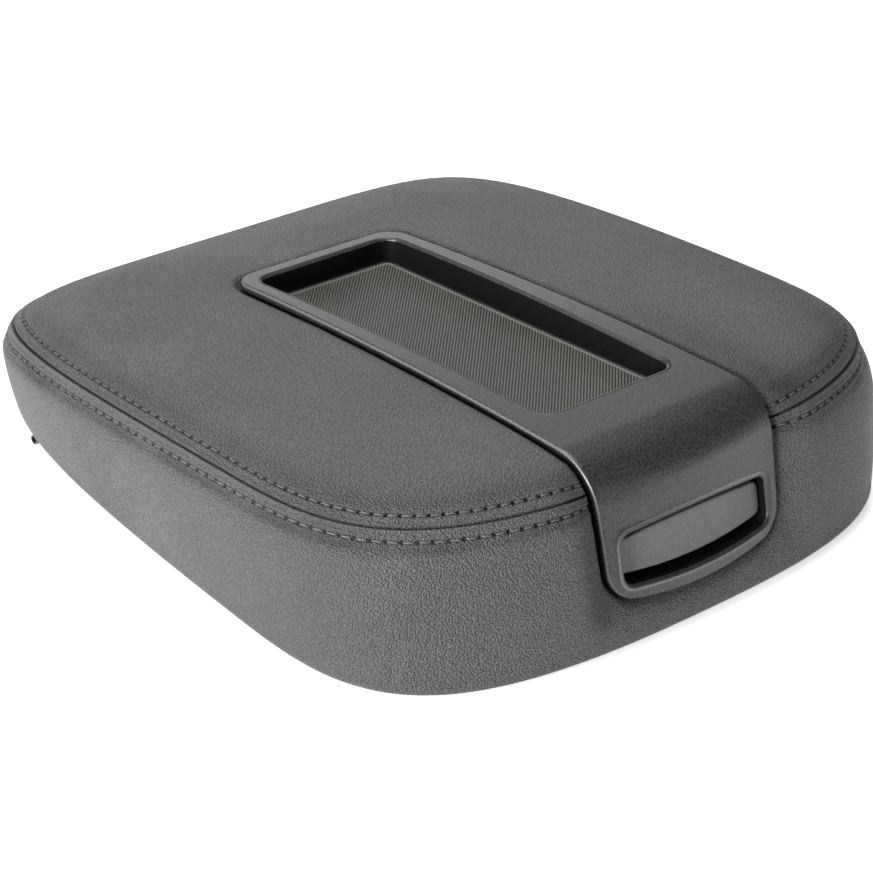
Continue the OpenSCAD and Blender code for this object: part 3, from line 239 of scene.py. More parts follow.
# rows of points across the leather, as distances from the seam
TOP_DEPTHS = np.array([
    0, 0.15, 0.35, 0.6, 0.85, 1.1, 1.4, 1.7, 2.0, 2.4, 2.9, 3.4, 4.0, 4.6, 5.1, 5.5, 5.9, 6.2, 6.5, 6.9,
    7.3, 7.8, 8.4, 9.1, 9.9, 10.8, 12, 13.4, 15, 17, 19, 21.5, 24])
SIDE_DEPTHS = np.array([
    0, 0.15, 0.35, 0.6, 0.85, 1.1, 1.4, 1.7, 2.1, 2.6, 3.2, 3.8, 4.4, 4.9, 5.3, 5.7, 6.0, 6.3, 6.6,
    7.0, 7.5, 8.1, 8.8, 9.7, 10.8])
SIDE_ROWS = 26
RIM_ANGLES = (12, 25, 38, 50, 62, 75, 90)
INNER_START = 26.0
INNER_END = 0.02
INNER_ROWS = 62
INNER_RUN = 110

# the top's swell, and the painted shade on the leather right of the trim
SWELL = 0.25
SWELL_X = 31.0
SWELL_Y = 37.0
SWELL_FROM = 20
SHADE = 0.45
SHADE_AT = 15.0
SHADE_W = 12.0
SHADE_FROM_Y = -40
SHADE_FADE = 50

rng = np.random.default_rng(7)


def bezier(t, a, b, c, d):
    return (1 - t) ** 3 * a + 3 * (1 - t) ** 2 * t * b + 3 * (1 - t) * t * t * c + t ** 3 * d


def seam_outline(count):
    """Evenly spaced points of the seam from the front centre round to the right, and outward normals."""
    t = np.linspace(0, 1, 800)
    fx = bezier(t, 0, FRONT_FLAT, SEAM_HALF_W, SEAM_HALF_W)
    fy = bezier(t, -SEAM_FRONT, -SEAM_FRONT, -WIDEST_FRONT - SIDE_FLAT_FRONT, -WIDEST_FRONT)
    rx = bezier(t, SEAM_HALF_W, SEAM_HALF_W, REAR_FLAT, 0)
    ry = bezier(t, -WIDEST_FRONT, -WIDEST_FRONT + SIDE_FLAT_REAR, SEAM_REAR, SEAM_REAR)
    hx = np.concatenate([fx, rx[1:]])
    hy = np.concatenate([fy, ry[1:]])
    x = np.concatenate([hx, -hx[-2:0:-1]])
    y = np.concatenate([hy, hy[-2:0:-1]])
    x = np.append(x, x[0])
    y = np.append(y, y[0])
    run = np.concatenate([[0], np.cumsum(np.hypot(np.diff(x), np.diff(y)))])
    at = np.arange(count) * run[-1] / count
    px = np.interp(at, run, x)
    py = np.interp(at, run, y)
    dx = np.roll(px, -1) - np.roll(px, 1)
    dy = np.roll(py, -1) - np.roll(py, 1)
    size = np.hypot(dx, dy)
    return px, py, dy / size, -dx / size, run[-1]


OX, OY, NX, NY, _ = seam_outline(COLUMNS)


def clamp(v, low=0.0, high=1.0):
    return np.minimum(high, np.maximum(low, v))


def lerp(a, b, t):
    return a + (b - a) * clamp(t)


def seam_z(y):
    rear = np.maximum(0, y - REAR_DIP_Y) / REAR_DIP_RUN
    return SEAM_TOP - SEAM_ARCH * ((y - SEAM_PEAK_Y) / SEAM_ARCH_RUN) ** 2 - REAR_DIP * rear ** 2


def plane_z(y):
    """Underside's slanted plane."""
    return RIM_FRONT + RIM_SLOPE * (y + SEAM_FRONT)


def rim_z(x, y):
    """Lower edge of the side leather."""
    sag = RIM_SAG * (1 - ((y - MID_Y) / (BODY_LEN / 2)) ** 2)
    return plane_z(y) - sag - RIM_SIDE_DROP * (x / SEAM_HALF_W) ** 2


def wall_out(f):
    """Bulge of the side wall at a share f of its height below the seam."""
    tuck = SIDE_TUCK * ((f - BULGE_AT) / (1 - BULGE_AT)) ** 2
    return np.where(f < BULGE_AT, SIDE_BULGE * np.sin(np.radians(90 / BULGE_AT * f)), SIDE_BULGE - tuck)


def crown(d):
    """Rise of the top leather at a distance d inside the seam."""
    return CROWN_RISE * (1 - np.exp(-d / CROWN_ROLL))


def pulled(x, y, z):
    """A leather point drawn towards the trim, as in the CAD."""
    angle = np.where(z < BEND_CZ, FACE_ANGLE, FACE_ANGLE * (1 - clamp((z - BEND_CZ) / BEND_R)))
    bow = FACE_BOW * np.maximum(0, 1 - (x / W_BEND) ** 2) * np.sin(angle) ** 2
    w = np.where(z > BEND_CZ, W_BEND, lerp(W_LOW, W_BEND, (z - PULL_LOW_Z) / (BEND_CZ - PULL_LOW_Z)))
    low_line = BEND_END_Z - math.sin(FACE_ANGLE) * (FACE_LEN - LOW_BOW * np.minimum(1, (x / W_LOW) ** 2))
    away = np.hypot(np.maximum(0, np.abs(x) - w), PULL_BELOW * np.maximum(0, low_line - z))
    k = np.exp(-(away / TRIM_ROLL) ** 2)
    face_y = BEND_END_Y - (BEND_END_Z - z) / math.tan(FACE_ANGLE) - bow
    low_dy = k * np.maximum(0, face_y + TRIM_SINK - y)
    vy = np.minimum(0, y - BEND_CY + bow)
    vz = np.maximum(1e-6, z - BEND_CZ)
    r = np.hypot(vy, vz)
    far = np.maximum(0, r - BEND_R + TRIM_SINK)
    crest = TRIM_TOP - (y - (-BEND_Y + CROWN_R * math.sin(END_PHI))) ** 2 / (2 * CROWN_R)
    top_far = np.maximum(0, z - crest + TRIM_SINK)
    behind = y > BEND_CY
    low = z <= BEND_CZ
    dy = np.where(low, low_dy, np.where(behind, 0, -k * far * vy / r))
    dz = np.where(low, 0, np.where(behind, -k * top_far, -k * far * vz / r))
    near = y < PULL_REAR_Y
    return x, np.where(near, y + dy, y), np.where(near, z + dz, z)


def top_point(x, y, nx, ny, d):
    """Leather of the top at a distance d inside the seam."""
    x, y = x - nx * d, y - ny * d
    return np.stack(pulled(x, y, seam_z(y) + crown(d)), -1)


def wall_point(x, y, nx, ny, f):
    """Leather of the side wall at a share f of its height below the seam."""
    z = seam_z(y) - f * (seam_z(y) - rim_z(x, y))
    g = wall_out(f)
    return np.stack(pulled(x + nx * g, y + ny * g + WALL_LEAN * (z - seam_z(y)), z), -1)


# the trim's own coordinates
def phi_at(s):
    return np.where(s < TOP_RUN, START_PHI + s / CROWN_R,
                    np.minimum(FACE_ANGLE, END_PHI + np.maximum(0, s - TOP_RUN) / BEND_R))


def side_yz(s):
    a = phi_at(s)
    on_top = s < TOP_RUN
    on_bend = s < TOP_RUN + BEND_LEN
    past = s - TOP_RUN - BEND_LEN
    y = np.where(on_top, -BEND_Y + CROWN_R * (math.sin(END_PHI) - np.sin(a)),
                 np.where(on_bend, BEND_CY - BEND_R * np.sin(a), BEND_END_Y - past * math.cos(FACE_ANGLE)))
    z = np.where(on_top, BEND_Z + CROWN_R * (np.cos(a) - math.cos(END_PHI)),
                 np.where(on_bend, BEND_CZ + BEND_R * np.cos(a), BEND_END_Z - past * math.sin(FACE_ANGLE)))
    return y, z


def trim_point(x, s, h):
    """Point of the trim's face at x and s, raised by h along the face's normal."""
    x, s, h = np.broadcast_arrays(np.asarray(x, float), np.asarray(s, float), np.asarray(h, float))
    a = phi_at(s)
    y, z = side_yz(s)
    bow = FACE_BOW * (1 - (x / W_BEND) ** 2) * np.sin(a) ** 2
    return np.stack([x, y - bow - h * np.sin(a), z + h * np.cos(a)], -1)


def trim_half_w(s):
    face = (s - TOP_RUN - BEND_LEN / 2) / (FACE_LEN + BEND_LEN / 2)
    return np.where(s < TOP_RUN, lerp(W_REAR, W_BEND, s / TOP_RUN), lerp(W_BEND, W_LOW, face))


def low_stretch(x, s):
    """Extra run of the face in its middle, which bows the trim's lower edge."""
    t = np.maximum(0, (s - TOP_RUN - BEND_LEN) / (LOW_END - TOP_RUN - BEND_LEN))
    return LOW_BOW * t * t * (1 - (x / W_LOW) ** 2)


def trim_distance(x, y, z):
    """Distance outside the trim's outline along its surface, and the heading there."""
    vy = BEND_CY - y
    vz = z - BEND_CZ
    turn = np.arctan2(np.maximum(0, vy), np.maximum(1e-6, vz))
    top_phi = np.arcsin(np.clip(math.sin(END_PHI) - (y + BEND_Y) / CROWN_R, -1, 1))
    s_top = (top_phi - START_PHI) * CROWN_R
    s_bend = TOP_RUN + BEND_R * np.clip(turn - END_PHI, 0, FACE_ANGLE - END_PHI)
    s_face = TOP_RUN + BEND_LEN + (BEND_END_Z - z) / math.sin(FACE_ANGLE)
    s = np.where(y > -BEND_Y, s_top, np.where(z > BEND_END_Z, s_bend, s_face))
    s = np.where((y > -BEND_Y) & (z < BEND_CZ), s_face, s)
    plain = s.copy()
    for _ in range(3):
        plain = s - low_stretch(np.clip(x, -W_LOW, W_LOW), plain)
    e = np.minimum(plain, LOW_END - plain)
    qx = np.abs(x) - (trim_half_w(plain) - CORNER_R)
    qe = CORNER_R - e
    away = np.hypot(np.maximum(qx, 0), np.maximum(qe, 0)) + np.minimum(np.maximum(qx, qe), 0) - CORNER_R
    rear_wall = (y > 0) & (z < BEND_CZ)
    return np.where(rear_wall, FAR, away), phi_at(s)


# mesh helpers
def add_mesh(name, points, faces, body):
    """Object from points in mm; it rides on a CAD body."""
    mesh = bpy.data.meshes.new(name)
    mesh.from_pydata((np.asarray(points) * MM).tolist(), [], faces)
    mesh.validate()
    mesh.polygons.foreach_set("use_smooth", [True] * len(mesh.polygons))
    mesh.update()
    obj = bpy.data.objects.new(name, mesh)
    bpy.context.scene.collection.objects.link(obj)
    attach(obj, body)
    return obj


def grid_faces(rows, cols, wrap=True, flip=False):
    faces = []
    last = cols if wrap else cols - 1
    for r in range(rows - 1):
        for c in range(last):
            d = (c + 1) % cols
            quad = (r * cols + c, r * cols + d, (r + 1) * cols + d, (r + 1) * cols + c)
            faces.append(quad[::-1] if flip else quad)
    return faces


def grid_normals(p):
    """Unit normals of a wrapped grid of points, shaped rows by columns by 3."""
    across = np.roll(p, -1, 1) - np.roll(p, 1, 1)
    down = np.gradient(p, axis=0)
    n = np.cross(across, down)
    return n / np.maximum(1e-9, np.linalg.norm(n, axis=-1, keepdims=True))


def bump_at(d, centre, width):
    return np.exp(-((d - centre) / width) ** 2)


def into_gap(p):
    """Leather rolled down along the trim's edge, and each point's distance from the trim."""
    x, y, z = p[..., 0], p[..., 1], p[..., 2]
    away, phi = trim_distance(x, y, z)
    u = np.clip((GAP_W + ROLL_R - away) / ROLL_R, 0, 1)
    depth = ROLL_R * (1 - np.sqrt(np.maximum(0, 1 - u * u)))
    depth = depth + np.maximum(0, GAP_W - away) * GAP_FALL
    rear = clamp((y - POCKET_FROM) / POCKET_OVER)
    depth = depth + POCKET_DEPTH * rear * np.exp(-(np.maximum(0, away) / POCKET_REACH) ** 2)
    depth = np.minimum(depth, ROLL_R + POCKET_DEPTH + GAP_FLOOR)
    out = p.copy()
    out[..., 1] += depth * np.sin(phi)
    out[..., 2] -= depth * np.cos(phi)
    return out, away


# leather, in rows by columns of points; depth is the rows' distance from the seam
def stitch_phase():
    return 2 * np.pi * (np.arange(COLUMNS) % COLUMNS_PER_STITCH) / COLUMNS_PER_STITCH


def seam_marks(depth, at):
    """1 in the needle holes and in the seam's slit; the holes are sunk into the leather, and both get painted
    shade in its colour.
    """
    start = (np.arange(COLUMNS) % COLUMNS_PER_STITCH == 0)[None, :]
    return np.maximum(start * (np.abs(depth - at) < HOLE_R), bump_at(depth, 0, SEAM_SLIT))


def wander(scale, waves):
    """Smooth closed noise along the seam."""
    a = np.linspace(0, 2 * np.pi, COLUMNS, endpoint=False)
    total = np.zeros(COLUMNS)
    for k in range(waves):
        total += rng.normal() * np.sin((k * 7 + 5) * a + rng.uniform(0, 6.28))
    return (scale * total / math.sqrt(waves))[None, :]


def seam_shade(depth, at, width, amount):
    """Share of painted shade along the stitches, uneven along the seam."""
    return np.maximum(0, amount * (1 + wander(SEAM_SHADE_VARIES, 5))) * bump_at(depth, at, width)


def creases(depth, at, amount):
    """Short folds that run away from the stitches, uneven in strength."""
    each = np.repeat(rng.uniform(0.2, 1.0, STITCHES), COLUMNS_PER_STITCH)[None, :]
    return -amount * each * np.cos(stitch_phase())[None, :] * bump_at(depth, at, CREASE_W)


def seam_relief(depth, stitch, folds, tuft):
    """Height of the leather beside the seam: the slit, its folds and the stitches' pull."""
    pull = (1 - PUCKER * (0.5 + 0.5 * np.cos(stitch_phase())))[None, :]
    h = -SLIT_DEPTH * bump_at(depth, 0, SEAM_SLIT)
    for height, centre, width in folds:
        h = h + height * bump_at(depth, centre, width)
    h = h - (0.5 + 0.5 * pull) * bump_at(depth, stitch, PUCKER_W)
    height, centre, width = tuft
    return h + height * (1 - pull) * bump_at(depth, centre, width)


def leather_top():
    rows = [top_point(OX, OY, NX, NY, d) for d in TOP_DEPTHS]
    qx = OX - NX * INNER_START
    qy = OY - NY * INNER_START
    for s in np.linspace(1, INNER_END, INNER_ROWS):
        x = qx * s
        y = (qy - MID_Y) * s + MID_Y
        rows.append(np.stack(pulled(x, y, seam_z(y) + crown(INNER_START + (1 - s) * INNER_RUN)), -1))
    p = np.array(rows)
    depth = np.concatenate([TOP_DEPTHS, np.full(INNER_ROWS, FAR)])[:, None]
    marks = seam_marks(depth, STITCH_IN)
    h = seam_relief(depth, STITCH_IN, TOP_FOLDS, TOP_TUFT) + creases(depth, *TOP_CREASES)
    p = p + grid_normals(p) * (h - HOLE_DEPTH * marks * (depth > 1))[..., None]
    swell = SWELL * np.sin(p[..., 0] / SWELL_X + 1.0) * np.sin(p[..., 1] / SWELL_Y)
    p[..., 2] += np.where(depth > SWELL_FROM, swell, 0)
    p, away = into_gap(p)
    # painted shade on the leather beside the trim's right edge, towards the front
    right_front = (p[..., 0] > 0) * clamp((SHADE_FROM_Y - p[..., 1]) / SHADE_FADE)
    shade_beside_trim = SHADE * bump_at(away, SHADE_AT, SHADE_W) * right_front
    # painted shade: needle holes and slit, a band along the stitches, and the leather right of the trim
    dark = np.maximum(marks, seam_shade(depth, *TOP_SEAM_SHADE) + shade_beside_trim)
    return finish_leather("leather_top", p, away, dark, "top_panel")


def leather_side():
    height = seam_z(OY) - rim_z(OX, OY)
    rows = [wall_point(OX, OY, NX, NY, d / height) for d in SIDE_DEPTHS]
    start = SIDE_DEPTHS[-1] / height
    end = 1 - RIM_R / height
    for s in np.linspace(0, 1, SIDE_ROWS)[1:]:
        rows.append(wall_point(OX, OY, NX, NY, start + (end - start) * s))
    # rounded lower edge
    bulge = wall_out(end)
    for a in np.radians(RIM_ANGLES):
        z = rim_z(OX, OY) + RIM_R * (1 - math.sin(a))
        g = bulge - RIM_R * (1 - math.cos(a))
        shift = WALL_LEAN * (z - seam_z(OY))
        plain_y = OY + NY * bulge + shift
        _, outer_y, outer_z = pulled(OX + NX * bulge, plain_y, z)
        rows.append(np.stack([OX + NX * g, OY + NY * g + shift + outer_y - plain_y, outer_z], -1))

    def under(inset):
        x, y = OX - NX * inset, OY - NY * inset
        return np.stack([x, y, plane_z(y) + (LEDGE_LOW - LEATHER_T)], -1)

    # ledge under the shell, where the liner closes it
    rim, ledge = rows[-1], under(LEDGE_IN)
    rows += [rim + (ledge - rim) * t for t in (0.33, 0.66)] + [ledge, under(WRAP_IN)]
    p = np.array(rows)
    depth = np.concatenate([SIDE_DEPTHS, np.full(len(rows) - len(SIDE_DEPTHS), FAR)])[:, None]
    marks = seam_marks(depth, STITCH_DOWN)
    h = seam_relief(depth, STITCH_DOWN, SIDE_FOLDS, SIDE_TUFT) + creases(depth, *SIDE_CREASES)
    groove, at, width = GROOVE
    h = h - (groove + wander(GROOVE_VARIES, 9)) * bump_at(depth, at, width)
    p = p - grid_normals(p) * (h - HOLE_DEPTH * marks * (depth > 1))[..., None]
    p, away = into_gap(p)
    # painted shade: needle holes and slit, and a band below the stitches
    dark = np.maximum(marks, seam_shade(depth, *SIDE_SEAM_SHADE))
    return finish_leather("leather_side", p, away, dark, "side_panel", flip=True)


def finish_leather(name, p, away, dark, node, flip=False):
    """Mesh of the rows outside the trim, with the painted shade of each point."""
    rows, cols = p.shape[:2]
    flat = away.reshape(-1)
    keep = [f for f in grid_faces(rows, cols, flip=flip) if max(flat[v] for v in f) > HIDDEN]
    used = sorted({v for f in keep for v in f})
    index = {v: k for k, v in enumerate(used)}
    points = p.reshape(-1, 3)[used]
    obj = add_mesh(name, points, [tuple(index[v] for v in f) for f in keep], "lid")
    # painted shade at each point: needle holes, the seam's slit, the band along the stitches and the leather
    # right of the trim
    marks = obj.data.attributes.new("seam_painted_shade", "FLOAT", "POINT")
    marks.data.foreach_set("value", dark.reshape(-1)[used].astype(np.float32))
    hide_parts(node)
    return obj


# foam
def foam_core():
    """The CAD foam, with a bevel cut where the leather rolls down along the trim."""
    rings = []
    for g, h in BEVEL_SECTION:
        loop = trim_outline(-g)
        rings.append(trim_point(loop[:, 0], loop[:, 1], h))
    rings = np.array(rings)
    count = rings.shape[1]
    faces = []
    for r in range(len(rings)):
        m = (r + 1) % len(rings)
        for c in range(count):
            d = (c + 1) % count
            faces.append((r * count + c, m * count + c, m * count + d, r * count + d))
    cutter = add_mesh("foam_cutter", rings.reshape(-1, 3), faces, "lid")
    work = bmesh.new()
    work.from_mesh(cutter.data)
    bmesh.ops.recalc_face_normals(work, faces=work.faces)
    work.to_mesh(cutter.data)
    work.clear()
    foam = bpy.data.objects.new("foam_core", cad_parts["foam_pad"].data.copy())
    bpy.context.scene.collection.objects.link(foam)
    work.from_mesh(foam.data)
    bmesh.ops.remove_doubles(work, verts=work.verts, dist=1e-6)
    work.to_mesh(foam.data)
    work.free()
    cut = foam.modifiers.new("bevel", "BOOLEAN")
    cut.operation = "DIFFERENCE"
    cut.solver = "EXACT"
    cut.object = cutter
    shaped = bpy.data.meshes.new_from_object(foam.evaluated_get(bpy.context.evaluated_depsgraph_get()))
    foam.modifiers.clear()
    foam.data = shaped
    bpy.data.objects.remove(cutter)
    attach(foam, "lid")
    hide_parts("foam_pad")
    return foam


# stitches
def capsule(centre, along, out, sides=6, steps=5):
    """A stitch: a bowed thread whose two ends dive into the leather."""
    side = np.cross(out, along)
    pts = []
    for k in range(steps):
        t = k / (steps - 1)
        bow = math.sin(math.pi * t)
        rise = THREAD_R * THREAD_RISE * bow - THREAD_R * THREAD_DROP
        c = centre + along * (t - 0.5) * STITCH_LEN + out * rise
        r = THREAD_R * (THREAD_TIP + (1 - THREAD_TIP) * bow)
        for j in range(sides):
            a = 2 * math.pi * j / sides
            pts.append(c + side * r * math.cos(a) + out * r * math.sin(a))
    faces = []
    for k in range(steps - 1):
        for j in range(sides):
            m = (j + 1) % sides
            faces.append((k * sides + j, (k + 1) * sides + j, (k + 1) * sides + m, k * sides + m))
    faces.append(tuple(range(sides)))
    faces.append(tuple(reversed(range((steps - 1) * sides, steps * sides))))
    return pts, faces


def stitch_row(name, on_top):
    px, py, nx, ny, _ = seam_outline(STITCHES * STITCH_SAMPLES)
    height = seam_z(py) - rim_z(px, py)

    def row(shift):
        if on_top:
            return top_point(px, py, nx, ny, STITCH_IN + shift)
        return wall_point(px, py, nx, ny, (STITCH_DOWN + shift) / height)

    p = row(0)
    along = np.roll(p, -1, 0) - np.roll(p, 1, 0)
    along /= np.linalg.norm(along, axis=-1, keepdims=True)
    out = np.cross(along, row(0.5) - p)
    out /= np.linalg.norm(out, axis=-1, keepdims=True)
    if not on_top:
        out = -out
    away, _ = trim_distance(p[:, 0], p[:, 1], p[:, 2])
    low, _ = into_gap(p)
    pts, faces = [], []
    for k in range(STITCHES):
        i = k * STITCH_SAMPLES + STITCH_SAMPLES // 2
        if away[i] < STITCH_CLEAR:
            continue
        a = along[i] + np.cross(out[i], along[i]) * rng.normal() * STITCH_TILT
        q, f = capsule(low[i] - out[i] * STITCH_SINK, a / np.linalg.norm(a), out[i])
        base = len(pts)
        pts += q
        faces += [tuple(v + base for v in face) for face in f]
    return add_mesh(name, np.array(pts), faces, "lid")


# trim
def rounded(points, arc=7):
    """Outline with rounded corners; each point is (x, y, radius)."""
    out = []
    n = len(points)
    for i, (x, y, r) in enumerate(points):
        b = np.array([x, y])
        if r <= 0:
            out.append(b)
            continue
        a = np.array(points[i - 1][:2])
        c = np.array(points[(i + 1) % n][:2])
        u = (a - b) / np.linalg.norm(a - b)
        v = (c - b) / np.linalg.norm(c - b)
        half = math.acos(float(np.clip(u @ v, -1, 1))) / 2
        m = b + (u + v) / np.linalg.norm(u + v) * r / math.sin(half)
        s = b + u * r / math.tan(half) - m
        e = b + v * r / math.tan(half) - m
        a0 = math.atan2(s[1], s[0])
        turn = (math.atan2(e[1], e[0]) - a0 + 3 * math.pi) % (2 * math.pi) - math.pi
        for k in range(arc + 1):
            angle = a0 + turn * k / arc
            out.append(m + r * np.array([math.cos(angle), math.sin(angle)]))
    return np.array(out)


def trim_outline(inset):
    """Loop in (x, s) at a distance inside the trim's outline."""
    r = CORNER_R - inset
    arc = np.linspace(0, np.pi / 2, 17)
    bend_end = TOP_RUN + BEND_LEN
    straight = np.concatenate([np.linspace(CORNER_R, TOP_RUN, 60)[1:], np.linspace(TOP_RUN, bend_end, 26)[1:],
                               np.linspace(bend_end, LOW_END - CORNER_R, 12)[1:-1]])
    rear_w = float(trim_half_w(np.array(CORNER_R)))
    low_w = float(trim_half_w(np.array(LOW_END - CORNER_R)))
    pts = [(x, inset) for x in np.linspace(0, rear_w - CORNER_R, 14)[:-1]]
    pts += [(rear_w - CORNER_R + r * math.sin(a), CORNER_R - r * math.cos(a)) for a in arc]
    pts += [(float(trim_half_w(np.array(s))) - inset, s) for s in straight]
    pts += [(low_w - CORNER_R + r * math.cos(a), LOW_END - CORNER_R + r * math.sin(a)) for a in arc]
    pts += [(x, LOW_END - inset) for x in np.linspace(low_w - CORNER_R, 0, 14)[1:]]
    half = np.array(pts)
    loop = np.vstack([half, half[-2:0:-1] * [-1, 1]])
    loop[:, 1] = loop[:, 1] + low_stretch(loop[:, 0], loop[:, 1])
    return loop


def edge_drop(d):
    """Fall of the trim's rounded edge at a distance d inside its outline."""
    inner = EDGE_R - np.maximum(0, d)
    return np.where(d >= EDGE_R, 0, EDGE_R - np.sqrt(np.maximum(0, EDGE_R ** 2 - inner ** 2)))


def run_of_y(y):
    phi = np.arcsin(math.sin(END_PHI) - (np.asarray(y) + BEND_Y) / CROWN_R)
    return (phi - START_PHI) * CROWN_R


def tray_outline(grow):
    """Tray's mouth in plan, grown outwards, as (x, y)."""
    front_w, rear_w = TRAY_W_FRONT + grow, TRAY_W_REAR + grow
    front_y, rear_y = TRAY_FRONT_Y + grow, TRAY_REAR_Y + grow
    r = TRAY_CORNER_R + grow
    corners = [(-front_w, -front_y, r), (front_w, -front_y, r), (rear_w, rear_y, r), (-rear_w, rear_y, r)]
    return rounded(corners, 12)


def bowed_outline(w, low, high, low_bow, top_bow, r):
    """Oblong in (x, z) with round corners, its lower and upper edges bowed outwards in the middle."""
    pts = [(-w, low, r)] + [(u * w, low - low_bow * (1 - u * u), 0) for u in BOW_STEPS]
    pts += [(w, low, r), (w, high, r)] + [(-u * w, high + top_bow * (1 - u * u), 0) for u in BOW_STEPS]
    pts += [(-w, high, r)]
    return rounded(pts, 10)


def opening_outline(grow):
    """Finger opening in the face, grown outwards."""
    return bowed_outline(OPEN_HALF_W + grow, OPEN_LOW + OPEN_LOW_BOW - grow, OPEN_TOP - OPEN_TOP_BOW + grow,
                         OPEN_LOW_BOW, OPEN_TOP_BOW, OPEN_R + grow)


def plate_outline(grow):
    """Front of the handle's plate, which leaves the finger gap below it."""
    return bowed_outline(OPEN_HALF_W - PLATE_GAP + grow, PLATE_LOW + PLATE_LOW_BOW - grow,
                         PLATE_TOP - OPEN_TOP_BOW + grow, PLATE_LOW_BOW, OPEN_TOP_BOW, PLATE_R + grow)


def matched_loop(outline, grow, count=OPEN_STEPS):
    """The outline grown, with points that match those of the outline at its own size."""
    base = outline(0)
    moved = outline(grow)
    p = np.vstack([base, base[:1]])
    q = np.vstack([moved, moved[:1]])
    run = np.concatenate([[0], np.cumsum(np.linalg.norm(np.diff(p, axis=0), axis=1))])
    at = np.arange(count) * run[-1] / count
    return np.stack([np.interp(at, run, q[:, k]) for k in range(2)], -1)


def tray_loop(grow):
    return matched_loop(tray_outline, grow, TRAY_STEPS)


def mouth_loop(grow):
    """The tray's mouth as a loop in (x, s)."""
    loop = tray_loop(grow)
    return np.stack([loop[:, 0], run_of_y(loop[:, 1])], -1)


def face_run(z):
    """Run along the trim at which its face reaches height z."""
    return TOP_RUN + BEND_LEN + (BEND_END_Z - z) / math.sin(FACE_ANGLE)


def opening_loop(grow):
    """The finger opening as a loop in (x, s)."""
    loop = matched_loop(opening_outline, grow)
    return np.stack([loop[:, 0], face_run(loop[:, 1])], -1)


def face_point(loop, depth):
    """Points at depth behind the face, for a loop in (x, z)."""
    p = trim_point(loop[:, 0], face_run(loop[:, 1]), 0)
    p[:, 1] += depth
    return p


def inside(loop, p):
    """Which points lie in a closed loop."""
    x, y = p[:, 0], p[:, 1]
    hit = np.zeros(len(p), bool)
    for (x0, y0), (x1, y1) in zip(loop, np.roll(loop, -1, 0)):
        cross = (y0 > y) != (y1 > y)
        if y1 != y0:
            hit ^= cross & (x < x0 + (y - y0) * (x1 - x0) / (y1 - y0))
    return hit


class Sheet:
    """Collects points and faces of one piece."""

    def __init__(self):
        self.points = []
        self.faces = []

    def add(self, pts):
        start = len(self.points)
        self.points.extend(np.asarray(pts).tolist())
        return list(range(start, len(self.points)))

    def ring(self, previous, pts, flip=False):
        """Adds a ring of points and joins it to the previous one."""
        row = self.add(pts)
        n = len(row)
        for i in range(n):
            j = (i + 1) % n
            quad = (previous[i], previous[j], row[j], row[i])
            self.faces.append(quad[::-1] if flip else quad)
        return row


def trim_grid():
    """Points within the trim's face, clear of its edge, the tray and the opening, as (x, s)."""
    bend_end = TOP_RUN + BEND_LEN
    runs = np.concatenate([np.arange(6, TOP_RUN, GRID_STEP), TOP_RUN + np.linspace(0, BEND_LEN, 16),
                           np.arange(bend_end + 3, LOW_END + LOW_BOW, GRID_STEP_FRONT)])
    s, x = np.meshgrid(runs, np.linspace(-GRID_HALF_W, GRID_HALF_W, GRID_COLUMNS), indexing="ij")
    p = np.stack([x.ravel(), s.ravel()], -1)
    return p[inside(trim_outline(2.6), p) & ~inside(mouth_loop(3.2), p) & ~inside(opening_loop(2.4), p)]


def trim_face(sheet):
    """Triangulated face; gives its rows at the edge, the mouth and the opening, and the faces with a painted
    highlight.
    """
    loops = [(trim_outline(d), -float(edge_drop(d))) for d in TRIM_INSETS]
    mouth_at = len(loops)
    loops += [(mouth_loop(LIP_R), 0.0), (mouth_loop(LIP_R + LIP_APRON), 0.0)]
    hole_at = len(loops)
    hole, bead, hole_wide = [opening_loop(OPEN_FILLET + BEAD_W * share) for share in (0, 0.5, 1)]
    loops += [(hole, BEAD_H), (bead, BEAD_H), (hole_wide, 0.0)]
    flat, edges, heights, starts = [], [], [], []
    for loop, height in loops:
        start = len(flat)
        starts.append(start)
        flat += loop.tolist()
        heights += [height] * len(loop)
        edges += [(start + i, start + (i + 1) % len(loop)) for i in range(len(loop))]
    grid = trim_grid()
    flat += grid.tolist()
    heights += [0.0] * len(grid)
    verts, _, tris, origin, _, _ = delaunay_2d_cdt([Vector(v) for v in flat], edges, [], 0, 1e-5, True)
    verts = np.array([[v.x, v.y] for v in verts])
    height = np.array([heights[o[0]] if o else 0.0 for o in origin])
    middle = np.array([verts[list(t)].mean(0) for t in tris])
    good = inside(loops[0][0], middle) & ~inside(loops[mouth_at][0], middle) & ~inside(hole, middle)
    ids = sheet.add(trim_point(verts[:, 0], verts[:, 1], height))
    sheet.faces += [tuple(ids[v] for v in t)[::-1] for t, g in zip(tris, good) if g]
    # painted highlight: the trim's outer edge and the bead's outer half around the opening
    highlit = ~inside(trim_outline(EDGE_HIGHLIGHT_W), middle) | (inside(hole_wide, middle) & ~inside(bead, middle))
    place = {v: k for k, o in enumerate(origin) for v in o}
    rows = [[ids[place[starts[k] + i]] for i in range(len(loops[k][0]))] for k in (0, mouth_at, hole_at)]
    return *rows, highlit[good]


